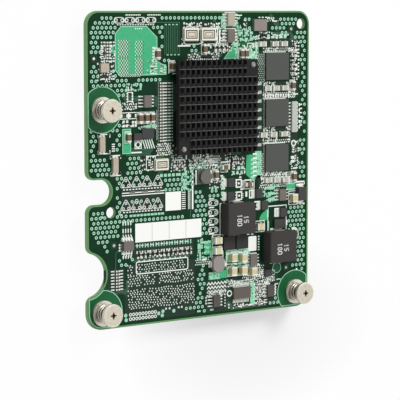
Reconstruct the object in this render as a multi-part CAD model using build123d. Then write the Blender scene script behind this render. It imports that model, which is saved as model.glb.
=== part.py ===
from build123d import *
from math import cos, pi, sin, sqrt
import os

# A mezzanine network card that screws flat onto a server's main board. Sizes are in millimetres.
# The card lies with its component side up: +Z leaves that side, +Y runs up the card and +X to its right.
# Z is 0 at the open mouth of the connector under the board, and the board is centred on X and Y.
# Places on the board are shares of its width and length, measured from its centre.

# Board
board_w = 101.6
board_l = 114.3
board_t = 1.6
top_corner_r = 5.1
foot_corner_r = 6.0
slot_reach = 10.4
slot_w = 9.0
slot_y_share = -0.0647
bite_r = 8.0
bite_inset_y = 19.95
mouth_r = 3.0
tooling_r = 2.0
tooling_shares = ((0.4606, 0.4571), (-0.4, -0.1312), (0.429, -0.2528))
overrun = 1.0
pick_tolerance = 0.01

# Connector under the board
connector_h = 6.0
connector_w = 38.0
connector_l = 20.0
connector_gap_x = 2.7
connector_inset_y = 14.15
connector_wall = 1.5
connector_floor = 1.6
connector_key = 2.2
contact_side = 0.6
contact_drop = 3.6
contact_columns = 11
contact_rows = 5
contact_margin = 1.6

# Clearances
running_gap = 0.08
press_gap = 0.05

# Captive screws: a ferrule swaged into the board, a spring, a screw and its retaining ring
screw_inset_x = 6.5
screw_inset_y = 5.95
upper_screw_share = 0.1925
flange_r = 4.7
flange_t = 0.9
barrel_r = 3.0
collar_r = 3.6
collar_t = 0.8
screw_r = 1.5
head_r = 4.2
head_t = 1.6
head_edge = 0.35
head_rise = 5.4
lobe_r = 1.0
lobe_root_r = 0.6
lobe_count = 6
recess_depth = 1.0
screw_reach = 5.0
tip_chamfer = 0.5
groove_depth = 0.3
ring_r = 2.8
ring_t = 0.5
ring_mouth = 2.0
spring_r = 3.1
spring_wire_r = 0.35
spring_turns = 3
spring_step_count = 48

# Main chip and its heat sink
chip_shares = (0.0423, 0.192)
ball_side = 0.6
ball_h = 0.4
ball_count = 6
ball_pitch = 4.3
substrate_side = 27.0
substrate_t = 1.1
lid_side = 21.0
lid_t = 0.9
lid_edge = 0.4
pad_side = 20.0
pad_t = 0.2
sink_w = 36.0
sink_l = 34.6
sink_plate_t = 1.8
fin_w = 0.8
fin_l = 1.7
fin_h = 2.0
fin_columns = 15
fin_rows = 11
fin_margin_x = 1.0
fin_margin_y = 0.2
cleared_columns = 2
cleared_rows = 2
pin_inset = 2.1
pin_r = 0.75
pin_head_r = 1.0
pin_head_h = 0.8
pin_barb_r = 1.05
pin_barb_h = 1.3
pin_tip_r = 0.45
pin_neck = 0.1
pin_split = 0.4

# Memory chips
memory_w = 11.0
memory_l = 10.3
memory_t = 0.9
memory_ball_h = 0.3
memory_ball_pitch = 3.2
memory_ball_rows = 3
memory_ball_columns = 3
memory_x_share = 0.3406
memory_y_shares = (0.3167, 0.1623, 0.0118)

# Moulded packages with gull-wing leads; a third value of 1 turns the package a quarter
outline_w = 3.4
outline_l = 4.6
outline_h = 1.4
outline_span = 6.2
outline_pitch = 1.2
outline_lead_count = 4
outline_shares = ((0.123, 0.473, 0), (0.123, 0.419, 0), (-0.249, 0.215, 0), (0.230, -0.3255, 0),
                  (0.368, -0.1146, 0), (0.058, -0.4497, 0), (0.312, -0.4357, 0), (-0.3327, -0.2406, 1))
wide_w = 4.4
wide_l = 8.2
wide_h = 1.1
wide_span = 6.4
wide_pitch = 0.65
wide_lead_count = 12
wide_shares = ((0.178, -0.432, 1),)
standoff = 0.12
draft_angle = 6.0
lead_t = 0.2
lead_foot = 0.7
lead_w = 0.42
wide_lead_w = 0.26

# Leadless packages and power transistors
leadless_w = 5.0
leadless_l = 3.6
leadless_h = 0.9
leadless_shares = ((-0.2461, 0.1137), (0.3563, -0.2117))
large_leadless_w = 6.0
large_leadless_l = 4.3
large_leadless_shares = ((0.2618, 0.4532),)
small_leadless_w = 3.4
small_leadless_l = 2.6
small_leadless_shares = ((-0.289, 0.104), (0.305, -0.3745))
transistor_w = 5.3
transistor_l = 5.1
transistor_h = 1.1
transistor_shares = ((0.118, -0.2612), (0.176, -0.2612))
small_transistor_w = 3.0
small_transistor_l = 3.4
small_transistor_shares = ((0.126, -0.0612), (0.125, -0.1067), (0.257, -0.1041), (0.2835, -0.1452),
                           (0.374, -0.1741))
tab_reach = 1.3
tab_t = 0.25
tab_l_share = 0.8

# Power inductors and chokes
inductor_w = 12.9
inductor_l = 11.9
inductor_h = 5.1
inductor_edge_r = 0.8
inductor_rim = 0.3
inductor_shares = ((0.147, -0.1794), (0.3445, -0.2852))
strap_w = 4.6
strap_t = 0.3
strap_h = 2.6
drum_side = 5.6
drum_base_t = 0.6
drum_r = 2.5
drum_core_r = 1.9
drum_flange_t = 0.45
drum_h = 2.2
drum_shares = (0.003, -0.036)
octagon_w = 5.2
octagon_l = 6.0
octagon_h = 2.0
octagon_chamfer = 1.4
octagon_shares = (0.063, -0.326)
clip_l = 2.0
clip_t = 0.5
clip_h = 1.1

# Oscillators: a ceramic base under a drawn metal lid
oscillator_w = 7.0
oscillator_l = 5.0
large_oscillator_w = 6.2
large_oscillator_l = 4.4
oscillator_base_t = 0.5
oscillator_lid_t = 0.7
oscillator_ledge = 0.3
oscillator_corner_r = 0.6
oscillator_shares = ((-0.056, 0.425), (0.0217, 0.425))
large_oscillator_shares = ((-0.186, 0.0115),)

# Two-terminal chips; a third value of 1 turns the chip so that it runs along Y
large_chip = (3.2, 2.5, 2.3)
large_chip_end = 0.5
large_chip_shares = ((0.134, -0.310, 1), (0.181, -0.313, 1), (0.133, -0.355, 1), (0.181, -0.357, 1),
                     (0.2275, -0.363, 1), (0.060, -0.2485, 0), (0.060, -0.2825, 0), (0.422, -0.1277, 1),
                     (0.258, -0.2152, 0))
brown_chip = (3.2, 1.6, 1.3)
brown_chip_end = 0.5
brown_chip_shares = ((-0.2766, 0.1627, 1), (-0.249, 0.1627, 1), (-0.2244, 0.1627, 1), (-0.3278, 0.1032, 1),
                     (0.007, 0.377, 1), (-0.136, 0.324, 1), (-0.2, 0.364, 1),
                     (0.42, 0.251, 1), (0.428, -0.056, 1), (0.0995, -0.0105, 0),
                     (0.2096, -0.0717, 0), (0.0595, -0.0335, 1))
sink_edge_chip_shares = (0.38, 0.436)
sink_edge_gap = 0.35
grey_chip = (3.0, 1.9, 1.2)
grey_chip_end = 0.5
grey_chip_shares = ((0.273, 0.391, 0), (0.331, 0.391, 0), (0.374, 0.391, 0),
                    (0.297, 0.244, 0), (0.336, 0.244, 0), (0.379, 0.244, 0),
                    (0.278, 0.09, 0), (0.326, 0.09, 0), (0.375, 0.09, 0),
                    (0.303, -0.062, 0), (0.342, -0.064, 0), (0.385, -0.065, 0))
tiny_chip = (1.6, 0.8, 0.5)

# Rows of small chips: start shares, chips, pitch as a share of a chip's length, along Y, each chip turned
tiny_row_shares = ((-0.183, 0.271, 20, -0.69, 1, 0), (0.25, 0.258, 8, -2.06, 1, 0),
                   (0.424, 0.363, 6, -1.0, 1, 0), (-0.276, -0.273, 12, 1.28, 0, 1),
                   (-0.128, 0.012, 6, 1.44, 0, 1), (0.14, 0.01, 3, 1.375, 0, 1),
                   (0.268, -0.4, 4, -1.625, 1, 0), (0.055, 0.38, 4, 1.19, 0, 1),
                   (-0.375, -0.3185, 7, -0.7, 1, 0), (-0.41, 0.402, 6, -0.69, 1, 0))
rear_row_shares = ((-0.1, 0.29, 6, 2.0, 0, 1), (-0.1, 0.1, 6, 2.0, 0, 1))

# Line filters at the left edge, filter array at the right edge, and a power diode
filter_w = 2.2
filter_l = 5.4
filter_h = 1.3
filter_shares = ((-0.441, 0.0857), (-0.386, 0.0175))
filter_terminal_w = 0.8
filter_terminal_l = 0.5
filter_terminal_h = 0.9
array_w = 2.4
array_l = 11.8
array_h = 1.0
array_shares = (0.425, 0.1461)
array_terminal_count = 9
array_pitch = 1.27
array_terminal_w = 0.6
block_w = 3.4
block_l = 3.2
block_h = 1.2
block_shares = (-0.429, 0.3237)
diode_w = 4.2
diode_l = 5.4
diode_h = 2.1
diode_shares = (0.4587, -0.1155)
diode_lead_w = 2.6
diode_lead_t = 0.3
diode_lead_foot = 0.7
diode_lead_h = 1.0

# Heights and stations that follow from the sizes above
board_z = connector_h
top_z = board_z + board_t
screw_x = board_w / 2 - screw_inset_x
screw_y = board_l / 2 - screw_inset_y
stations = {
    "ul": (-screw_x, upper_screw_share * board_l),
    "ll": (-screw_x, -screw_y),
    "lr": (screw_x, -screw_y),
}
ferrule_foot_z = board_z - collar_t
head_z = top_z + head_rise
spring_foot_z = top_z + flange_t
chip_top_z = top_z + ball_h + substrate_t + lid_t
sink_z = chip_top_z + pad_t
sink_top_z = sink_z + sink_plate_t


def spot(shares):
    """Place on the board that a pair of shares names."""
    return shares[0] * board_w, shares[1] * board_l


def block(x, y, z, w, l, h):
    """Box that stands on height z with its centre over (x, y)."""
    return Pos(x, y, z) * Box(w, l, h, align=(Align.CENTER, Align.CENTER, Align.MIN))


def turned_block(x, y, z, w, l, h, turned):
    """Block whose width runs along Y when it is turned."""
    return block(x, y, z, l, w, h) if turned else block(x, y, z, w, l, h)


def lathe(points):
    """Solid of revolution about Z from an outline of (radius, height) points."""
    outline = Polyline(*[(r, 0, z) for r, z in points], close=True)
    return revolve(make_face(outline), Axis.Z)


def save(node, solids):
    """Write the solids of one node."""
    export_step(Compound(list(solids)), f"parts/{node}.step")


def pin_stations():
    """Push pins stand in two opposite corners of the heat sink."""
    x, y = spot(chip_shares)
    reach_x = sink_w / 2 - pin_inset
    reach_y = sink_l / 2 - pin_inset
    return ((x + reach_x, y + reach_y), (x - reach_x, y - reach_y))


def board():
    """Glass-fibre board with a round-ended slot and a round bite in its left edge."""
    outline = Rectangle(board_w, board_l)
    outline = fillet(outline.vertices().sort_by(Axis.Y)[-2:], top_corner_r)
    outline = fillet(outline.vertices().sort_by(Axis.Y)[:2], foot_corner_r)
    end_x = slot_reach - slot_w / 2 - board_w / 2
    slot_y = slot_y_share * board_l
    slot = Pos(end_x - board_w / 2, slot_y) * Rectangle(board_w, slot_w) + Pos(end_x, slot_y) * Circle(slot_w / 2)
    bite = Pos(-board_w / 2, bite_inset_y - board_l / 2) * Circle(bite_r)
    outline = outline - slot - bite
    reach_y = board_l / 2 - foot_corner_r - pick_tolerance
    mouths = [v for v in outline.vertices()
              if abs(v.X + board_w / 2) < pick_tolerance and abs(v.Y) < reach_y]
    outline = fillet(mouths, mouth_r)
    holes = [Pos(x, y) * Circle(barrel_r + press_gap) for x, y in stations.values()]
    holes += [Pos(*spot(shares)) * Circle(tooling_r) for shares in tooling_shares]
    holes += [Pos(x, y) * Circle(pin_r + press_gap) for x, y in pin_stations()]
    for hole in holes:
        outline = outline - hole
    return Pos(0, 0, board_z) * extrude(outline, board_t)


def connector_place():
    """Centre of the connector, beside the lower left captive screw."""
    x = collar_r + connector_gap_x + connector_w / 2 - screw_x
    return x, connector_inset_y - board_l / 2


def connector_housing():
    """Receptacle shell, open downwards, with one keyed corner."""
    x, y = connector_place()
    shell = Rectangle(connector_w, connector_l)
    shell = chamfer(shell.vertices().sort_by(Axis.X)[-1:], connector_key)
    cavity = offset(shell, -connector_wall)
    return Pos(x, y, 0) * (extrude(shell, connector_h) - extrude(cavity, connector_h - connector_floor))


def connector_contacts():
    """Contact blades that hang from the floor of the receptacle."""
    x, y = connector_place()
    step_x = (connector_w - 2 * (connector_wall + contact_margin)) / (contact_columns - 1)
    step_y = (connector_l - 2 * (connector_wall + contact_margin)) / (contact_rows - 1)
    z = connector_h - connector_floor - contact_drop
    for i in range(contact_columns):
        for j in range(contact_rows):
            dx = (i - (contact_columns - 1) / 2) * step_x
            dy = (j - (contact_rows - 1) / 2) * step_y
            yield block(x + dx, y + dy, z, contact_side, contact_side, contact_drop)


def ferrule():
    """Swaged bush: collar under the board, barrel in its hole, flange for the spring on top."""
    bore_r = screw_r + running_gap
    return lathe([
        (bore_r, ferrule_foot_z), (collar_r, ferrule_foot_z), (collar_r, board_z), (barrel_r, board_z),
        (barrel_r, top_z), (flange_r, top_z), (flange_r, spring_foot_z), (bore_r, spring_foot_z),
    ])


def captive_screw():
    """Screw with a wide low head, a six-lobed recess and a groove for its retaining ring."""
    tip_z = board_z - screw_reach
    top = head_z + head_t
    groove_r = screw_r - groove_depth
    ring_top = ferrule_foot_z - press_gap
    ring_foot = ring_top - ring_t
    body = lathe([
        (0, tip_z), (screw_r - tip_chamfer, tip_z), (screw_r, tip_z + tip_chamfer),
        (screw_r, ring_foot - press_gap), (groove_r, ring_foot - press_gap),
        (groove_r, ferrule_foot_z), (screw_r, ferrule_foot_z), (screw_r, head_z),
        (head_r - head_edge, head_z), (head_r, head_z + head_edge), (head_r, top - head_edge),
        (head_r - head_edge, top), (0, top),
    ])
    star = []
    for i in range(2 * lobe_count):
        reach = lobe_root_r if i % 2 else lobe_r
        star.append((reach * cos(pi * i / lobe_count), reach * sin(pi * i / lobe_count)))
    recess = extrude(make_face(Polyline(*star, close=True)), recess_depth + overrun)
    return body - Pos(0, 0, top - recess_depth) * recess


def retaining_ring():
    """Open ring that sits in the screw's groove and stops against the ferrule."""
    inner_r = screw_r - groove_depth + running_gap
    flat = Circle(ring_r) - Circle(inner_r) - Pos(ring_r, 0) * Rectangle(2 * ring_r, ring_mouth)
    return Pos(0, 0, ferrule_foot_z - press_gap - ring_t) * extrude(flat, ring_t)


def coil_spring():
    """Helical spring between the ferrule's flange and the underside of the head, in short straight steps."""
    length = head_z - spring_foot_z - 2 * spring_wire_r
    sections = []
    for i in range(spring_step_count + 1):
        share = i / spring_step_count
        angle = 2 * pi * spring_turns * share
        across = Vector(cos(angle), sin(angle), 0)
        along = Vector(-sin(angle), cos(angle), 0)
        centre = across * spring_r + Vector(0, 0, spring_foot_z + spring_wire_r + length * share)
        wire = Rectangle(spring_wire_r * sqrt(2), spring_wire_r * sqrt(2), rotation=45)
        sections.append(Plane(origin=centre, x_dir=across, z_dir=along) * wire)
    return loft(sections, ruled=True)


def heat_sink():
    """Low cross-cut heat sink with two corners left bare for its push pins."""
    x, y = spot(chip_shares)
    step_x = (sink_w - 2 * fin_margin_x - fin_w) / (fin_columns - 1)
    step_y = (sink_l - 2 * fin_margin_y - fin_l) / (fin_rows - 1)
    fins = Sketch()
    for i in range(fin_columns):
        for j in range(fin_rows):
            low_corner = i < cleared_columns and j < cleared_rows
            high_corner = fin_columns - 1 - i < cleared_columns and fin_rows - 1 - j < cleared_rows
            if not low_corner and not high_corner:
                dx = (i - (fin_columns - 1) / 2) * step_x
                dy = (j - (fin_rows - 1) / 2) * step_y
                fins += Pos(x + dx, y + dy) * Rectangle(fin_w, fin_l)
    sink = block(x, y, sink_z, sink_w, sink_l, sink_plate_t) + Pos(0, 0, sink_top_z) * extrude(fins, fin_h)
    for px, py in pin_stations():
        sink -= Pos(px, py, sink_z) * extrude(Circle(pin_r + press_gap), sink_plate_t)
    return sink


def push_pin():
    """Push pin: domed head on the heat sink, split barb under the board."""
    head_top = sink_top_z + pin_head_h
    barb_z = board_z - pin_neck
    tip_z = barb_z - pin_barb_h
    pin = lathe([
        (0, tip_z), (pin_tip_r, tip_z), (pin_barb_r, barb_z), (pin_r, barb_z), (pin_r, sink_top_z),
        (pin_head_r, sink_top_z), (pin_head_r, head_top - pin_head_h / 2), (pin_head_r / 2, head_top),
        (0, head_top),
    ])
    return pin - block(0, 0, tip_z - overrun, pin_split, 2 * pin_head_r + overrun, pin_barb_h + overrun)


def ball_grid(x, y, z, columns, rows, pitch, side, height):
    """Square field of solder joints."""
    for i in range(columns):
        for j in range(rows):
            dx = (i - (columns - 1) / 2) * pitch
            dy = (j - (rows - 1) / 2) * pitch
            yield block(x + dx, y + dy, z, side, side, height)


def chip_lid():
    """Metal lid with a bevelled rim."""
    x, y = spot(chip_shares)
    lid = block(x, y, top_z + ball_h + substrate_t, lid_side, lid_side, lid_t)
    return chamfer(lid.faces().sort_by(Axis.Z)[-1].edges(), lid_edge)


def moulded_body(w, l, h):
    """Moulded package body with drafted sides, clear of the board by the stand-off."""
    return Pos(0, 0, top_z + standoff) * extrude(Rectangle(w, l), h - standoff, taper=draft_angle)


def gull_lead(body_w, span, height, width):
    """Lead that leaves the body's foot line, drops and ends in a flat foot; it points along +X."""
    tip = span / 2
    heel = tip - lead_foot
    root = body_w / 2
    exit_z = top_z + height / 3
    profile = Polyline(
        (tip, 0, top_z), (heel, 0, top_z), (root, 0, exit_z), (root, 0, exit_z + lead_t),
        (heel + lead_t, 0, top_z + lead_t), (tip, 0, top_z + lead_t), close=True)
    lead = extrude(make_face(profile), width / 2, both=True)
    return lead


def lead_rows(body_w, span, height, width, count, pitch):
    """Leads of both sides of one package."""
    for i in range(count):
        lead = Pos(0, (i - (count - 1) / 2) * pitch, 0) * gull_lead(body_w, span, height, width)
        yield lead
        yield Rot(0, 0, 180) * lead


def seat(solid, x, y, turned):
    """Solid moved to its place and turned a quarter if asked."""
    return Pos(x, y, 0) * Rot(0, 0, 90 if turned else 0) * solid


def flat_package(shares, w, l, h):
    """Plain leadless packages of one size."""
    for pair in shares:
        x, y = spot(pair)
        yield block(x, y, top_z, w, l, h)


def transistor_tabs():
    """Thin solder tab at the left of each small transistor."""
    for pair in small_transistor_shares:
        x, y = spot(pair)
        tab_x = x - (small_transistor_w + tab_reach) / 2
        yield block(tab_x, y, top_z, tab_reach, small_transistor_l * tab_l_share, tab_t)


def inductor_core():
    """Pressed powder core with rounded corners and a thin rim line round its foot."""
    core = extrude(fillet(Rectangle(inductor_w, inductor_l).vertices(), inductor_edge_r), inductor_h)
    return Pos(0, 0, top_z) * chamfer(core.faces().sort_by(Axis.Z)[-1].edges(), inductor_rim)


def drum_choke():
    """Wound drum on a square base."""
    x, y = spot(drum_shares)
    top = top_z + drum_h
    drum = lathe([
        (0, top_z), (drum_r, top_z), (drum_r, top_z + drum_base_t + drum_flange_t),
        (drum_core_r, top_z + drum_base_t + drum_flange_t), (drum_core_r, top - drum_flange_t),
        (drum_r, top - drum_flange_t), (drum_r, top), (0, top),
    ])
    return block(x, y, top_z, drum_side, drum_side, drum_base_t) + Pos(x, y, 0) * drum


def octagon_choke():
    """Shielded choke with four cut corners."""
    x, y = spot(octagon_shares)
    plan = chamfer(Rectangle(octagon_w, octagon_l).vertices(), octagon_chamfer)
    return Pos(x, y, top_z) * extrude(plan, octagon_h)


def choke_clips():
    """End clips of the shielded choke."""
    x, y = spot(octagon_shares)
    reach = (octagon_w + clip_t) / 2
    for side in (-reach, reach):
        yield block(x + side, y, top_z, clip_t, clip_l, clip_h)


def oscillator_kinds():
    """Place and plan size of every oscillator."""
    for pair in oscillator_shares:
        yield spot(pair), oscillator_w, oscillator_l
    for pair in large_oscillator_shares:
        yield spot(pair), large_oscillator_w, large_oscillator_l


def oscillator_lid(x, y, w, l):
    """Drawn lid with rounded corners."""
    plan = fillet(Rectangle(w - 2 * oscillator_ledge, l - 2 * oscillator_ledge).vertices(), oscillator_corner_r)
    return Pos(x, y, top_z + oscillator_base_t) * extrude(plan, oscillator_lid_t)


def table_places(shares):
    """Places and turns that a table of shares names."""
    return [(*spot((sx, sy)), turned) for sx, sy, turned in shares]


def sink_edge_places():
    """Places of the chips that stand along the upper edge of the heat sink."""
    x, y = spot(chip_shares)
    edge_y = y + sink_l / 2 + sink_edge_gap + brown_chip[0] / 2
    return [(x + share * sink_w, edge_y, 1) for share in sink_edge_chip_shares]


def chip_bodies(places, size, end):
    """Ceramic bodies of two-terminal chips."""
    length, width, height = size
    for x, y, turned in places:
        yield turned_block(x, y, top_z, length - 2 * end, width, height, turned)


def chip_ends(places, size, end):
    """Metal ends of two-terminal chips, face to face with the body."""
    length, width, height = size
    reach = (length - end) / 2
    for x, y, turned in places:
        for side in (-reach, reach):
            dx, dy = (0, side) if turned else (side, 0)
            yield turned_block(x + dx, y + dy, top_z, end, width, height, turned)


def tiny_chips(rows, z):
    """Rows of small chips that stand on height z."""
    length, width, height = tiny_chip
    for sx, sy, count, pitch_share, along_y, turned in rows:
        x, y = spot((sx, sy))
        for i in range(count):
            step = i * pitch_share * length
            dx, dy = (0, step) if along_y else (step, 0)
            yield turned_block(x + dx, y + dy, z, length, width, height, turned)


def filter_terminals():
    """Two terminals at each end of every line filter."""
    reach_x = (filter_w - filter_terminal_w) / 2
    reach_y = (filter_l + filter_terminal_l) / 2
    for pair in filter_shares:
        x, y = spot(pair)
        for dx in (-reach_x, reach_x):
            for dy in (-reach_y, reach_y):
                yield block(x + dx, y + dy, top_z, filter_terminal_w, filter_terminal_l, filter_terminal_h)


def array_terminal_row():
    """Terminals along the right side of the filter array."""
    x, y = spot(array_shares)
    side = (array_w + array_terminal_w) / 2
    for i in range(array_terminal_count):
        dy = (i - (array_terminal_count - 1) / 2) * array_pitch
        yield block(x + side, y + dy, top_z, array_terminal_w, array_pitch / 2, array_h / 2)


def diode_leads():
    """Bent leads at both ends of the power diode."""
    x, y = spot(diode_shares)
    tip = diode_l / 2 + diode_lead_foot
    root = diode_l / 2
    profile = Polyline(
        (0, tip, top_z), (0, root, top_z), (0, root, top_z + diode_lead_h),
        (0, root + diode_lead_t, top_z + diode_lead_h), (0, root + diode_lead_t, top_z + diode_lead_t),
        (0, tip, top_z + diode_lead_t), close=True)
    lead = extrude(make_face(profile), diode_lead_w / 2, both=True)
    return (Pos(x, y, 0) * lead, Pos(x, y, 0) * Rot(0, 0, 180) * lead)


def packages(shares, w, l, h, span, width, count, pitch):
    """Bodies and leads of all moulded packages of one size."""
    bodies, leads = [], []
    for sx, sy, turned in shares:
        x, y = spot((sx, sy))
        bodies.append(seat(moulded_body(w, l, h), x, y, turned))
        leads += [seat(lead, x, y, turned) for lead in lead_rows(w, span, h, width, count, pitch)]
    return bodies, leads


os.makedirs("parts", exist_ok=True)

save("board", [board()])
save("connector_housing", [connector_housing()])
save("connector_contacts", connector_contacts())
save("ferrules", [Pos(x, y, 0) * ferrule() for x, y in stations.values()])
for name, (x, y) in stations.items():
    save(f"screw_{name}", [Pos(x, y, 0) * captive_screw()])
    save(f"ring_{name}", [Pos(x, y, 0) * retaining_ring()])
    save(f"spring_{name}", [Pos(x, y, 0) * coil_spring()])

chip_x, chip_y = spot(chip_shares)
save("chip_balls", ball_grid(chip_x, chip_y, top_z, ball_count, ball_count, ball_pitch, ball_side, ball_h))
save("chip_substrate", [block(chip_x, chip_y, top_z + ball_h, substrate_side, substrate_side, substrate_t)])
save("chip_lid", [chip_lid()])
save("thermal_pad", [block(chip_x, chip_y, chip_top_z, pad_side, pad_side, pad_t)])
save("heat_sink", [heat_sink()])
save("push_pins", [Pos(x, y, 0) * push_pin() for x, y in pin_stations()])

memory_places = [spot((memory_x_share, share)) for share in memory_y_shares]
save("memory_chips", [block(x, y, top_z + memory_ball_h, memory_w, memory_l, memory_t) for x, y in memory_places])
save("memory_balls", [ball for x, y in memory_places
                      for ball in ball_grid(x, y, top_z, memory_ball_columns, memory_ball_rows,
                                            memory_ball_pitch, ball_side, memory_ball_h)])

bodies, leads = packages(outline_shares, outline_w, outline_l, outline_h, outline_span, lead_w,
                         outline_lead_count, outline_pitch)
save("outline_bodies", bodies)
save("outline_leads", leads)
bodies, leads = packages(wide_shares, wide_w, wide_l, wide_h, wide_span, wide_lead_w, wide_lead_count, wide_pitch)
save("wide_body", bodies)
save("wide_leads", leads)
save("leadless_bodies", list(flat_package(leadless_shares, leadless_w, leadless_l, leadless_h))
     + list(flat_package(small_leadless_shares, small_leadless_w, small_leadless_l, leadless_h)))
save("large_leadless_body", flat_package(large_leadless_shares, large_leadless_w, large_leadless_l, leadless_h))
save("power_transistors", flat_package(transistor_shares, transistor_w, transistor_l, transistor_h))
save("small_transistors", flat_package(small_transistor_shares, small_transistor_w, small_transistor_l,
                                       transistor_h))
save("transistor_tabs", transistor_tabs())

inductor_places = [spot(pair) for pair in inductor_shares]
strap_y = (inductor_l + strap_t) / 2
save("inductor_cores", [Pos(x, y, 0) * inductor_core() for x, y in inductor_places])
save("inductor_straps", [block(x, y + side, top_z, strap_w, strap_t, strap_h)
                         for x, y in inductor_places for side in (-strap_y, strap_y)])
save("drum_choke", [drum_choke()])
save("octagon_choke", [octagon_choke()])
save("choke_clips", choke_clips())
save("oscillator_bases", [block(x, y, top_z, w, l, oscillator_base_t) for (x, y), w, l in oscillator_kinds()])
save("oscillator_lids", [oscillator_lid(x, y, w, l) for (x, y), w, l in oscillator_kinds()])

chip_kinds = {
    "large": (table_places(large_chip_shares), large_chip, large_chip_end),
    "brown": (table_places(brown_chip_shares) + sink_edge_places(), brown_chip, brown_chip_end),
    "grey": (table_places(grey_chip_shares), grey_chip, grey_chip_end),
}
for name, (places, size, end) in chip_kinds.items():
    save(f"{name}_chip_bodies", chip_bodies(places, size, end))
    save(f"{name}_chip_ends", chip_ends(places, size, end))
save("tiny_chips", tiny_chips(tiny_row_shares, top_z))
save("rear_chips", tiny_chips(rear_row_shares, board_z - tiny_chip[2]))

save("line_filters", [block(*spot(pair), top_z, filter_w, filter_l, filter_h) for pair in filter_shares])
save("filter_terminals", filter_terminals())
save("filter_array", [block(*spot(array_shares), top_z, array_w, array_l, array_h)])
save("array_terminals", array_terminal_row())
save("ceramic_block", [block(*spot(block_shares), top_z, block_w, block_l, block_h)])
diode_x, diode_y = spot(diode_shares)
save("diode_body", [seat(moulded_body(diode_w, diode_l, diode_h), diode_x, diode_y, False)])
save("diode_leads", diode_leads())
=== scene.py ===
import bpy
import numpy as np
from mathutils import Matrix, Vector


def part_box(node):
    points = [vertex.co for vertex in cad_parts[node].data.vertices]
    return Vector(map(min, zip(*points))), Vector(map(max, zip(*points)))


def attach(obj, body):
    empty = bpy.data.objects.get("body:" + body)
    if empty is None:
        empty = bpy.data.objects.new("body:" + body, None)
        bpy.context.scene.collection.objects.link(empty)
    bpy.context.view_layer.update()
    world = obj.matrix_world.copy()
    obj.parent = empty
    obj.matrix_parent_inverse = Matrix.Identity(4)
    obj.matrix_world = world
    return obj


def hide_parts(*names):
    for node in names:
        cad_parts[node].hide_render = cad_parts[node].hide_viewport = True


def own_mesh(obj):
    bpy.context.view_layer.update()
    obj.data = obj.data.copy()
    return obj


# Lengths are typed in millimetres and made metres when a mesh is written.
MM = 0.001
COPPER = 0.03
INK = 0.05
FILM = 0.01

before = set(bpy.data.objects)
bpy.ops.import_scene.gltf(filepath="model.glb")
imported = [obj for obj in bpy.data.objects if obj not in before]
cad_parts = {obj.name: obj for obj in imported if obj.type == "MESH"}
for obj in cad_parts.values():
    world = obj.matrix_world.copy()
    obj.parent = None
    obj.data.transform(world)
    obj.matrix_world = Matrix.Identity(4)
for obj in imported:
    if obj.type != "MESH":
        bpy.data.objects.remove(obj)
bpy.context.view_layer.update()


def extent(node):
    """Lowest and highest corner of a CAD node, in millimetres to a hundredth."""
    return (np.array(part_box(node)) / MM).round(2)


(LEFT, FOOT, REAR), (RIGHT, HEAD, TOP) = extent("board").tolist()
STATIONS = {name: extent("spring_" + name)[:, :2].mean(axis=0).tolist() for name in ("ul", "ll", "lr")}


# Outlines and places

def disc(r, sides=10):
    """Regular polygon: sides points at radius r, evenly turned about the centre."""
    a = np.arange(sides) * 2 * np.pi / sides
    return r * np.stack([np.cos(a), np.sin(a)], axis=1)


def rounded(w, l, r, steps=5):
    """Rectangle with rounded corners: a quarter circle of radius r about each corner's centre, in turn."""
    corners = np.array([[1, 1], [-1, 1], [-1, -1], [1, -1]]) * [w / 2 - r, l / 2 - r]
    made = []
    for corner, start in zip(corners, np.arange(4) * np.pi / 2):
        a = start + np.linspace(0, np.pi / 2, steps)
        made.append(corner + r * np.stack([np.cos(a), np.sin(a)], axis=1))
    return np.concatenate(made)


def arc(x, y, r, start, end, steps=12):
    """Points at radius r about (x, y), evenly from one angle in degrees to another."""
    a = np.radians(np.linspace(start, end, steps))
    return np.stack([x + r * np.cos(a), y + r * np.sin(a)], axis=1)


def grid(xs, ys):
    """Every pair of the two lists of places."""
    return np.stack(np.meshgrid(xs, ys), axis=2).reshape(-1, 2)


def about(rows):
    """Rectangles w by l about every centre (x, y); x or y may be several places."""
    x, y, w, l = np.array([(*centre, w, l) for xs, ys, w, l in rows for centre in grid(xs, ys)]).T
    return np.stack([x - w / 2, x + w / 2, y - l / 2, y + l / 2], axis=1)


def runs(rows):
    """Rectangles w by l in straight runs: count of them from every (x, y), each one stepped by (dx, dy)."""
    return about([(x + i * dx, y + i * dy, w, l) for xs, ys, dx, dy, count, w, l in rows
                  for x, y in grid(xs, ys) for i in range(count)])


def lattice(boxes, pitch_x, pitch_y):
    """Staggered lattice in each box: every other row moves half a pitch along X."""
    made = []
    for left, right, foot, head in boxes:
        at = grid(np.arange(left, right - pitch_x / 2, pitch_x), np.arange(foot, head, pitch_y))
        odd = np.round((at[:, 1] - foot) / pitch_y) % 2
        made.append(at + np.stack([odd * pitch_x / 2, np.zeros(len(at))], axis=1))
    return np.concatenate(made)


def clutter(boxes, pitch, least, most):
    """Rectangles of uneven size at uneven places in each box, spread by the sines of their numbers."""
    made = []
    for left, right, foot, head in boxes:
        at = grid(np.arange(left + pitch / 2, right, pitch), np.arange(foot + pitch / 2, head, pitch))
        chance = np.sin((np.arange(len(at))[:, None] + 1) * [12.99, 78.23, 37.72, 4.58, 61.3]) * 0.5 + 0.5
        middle = at + (chance[:, 3:] - 0.5) * pitch * 0.5
        half = (least + (most - least) * chance[:, 1:3]) / 2
        kept = chance[:, 0] > 0.3
        made.append(np.stack([middle - half, middle + half], axis=2).reshape(-1, 4)[kept])
    return np.concatenate(made)


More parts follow.
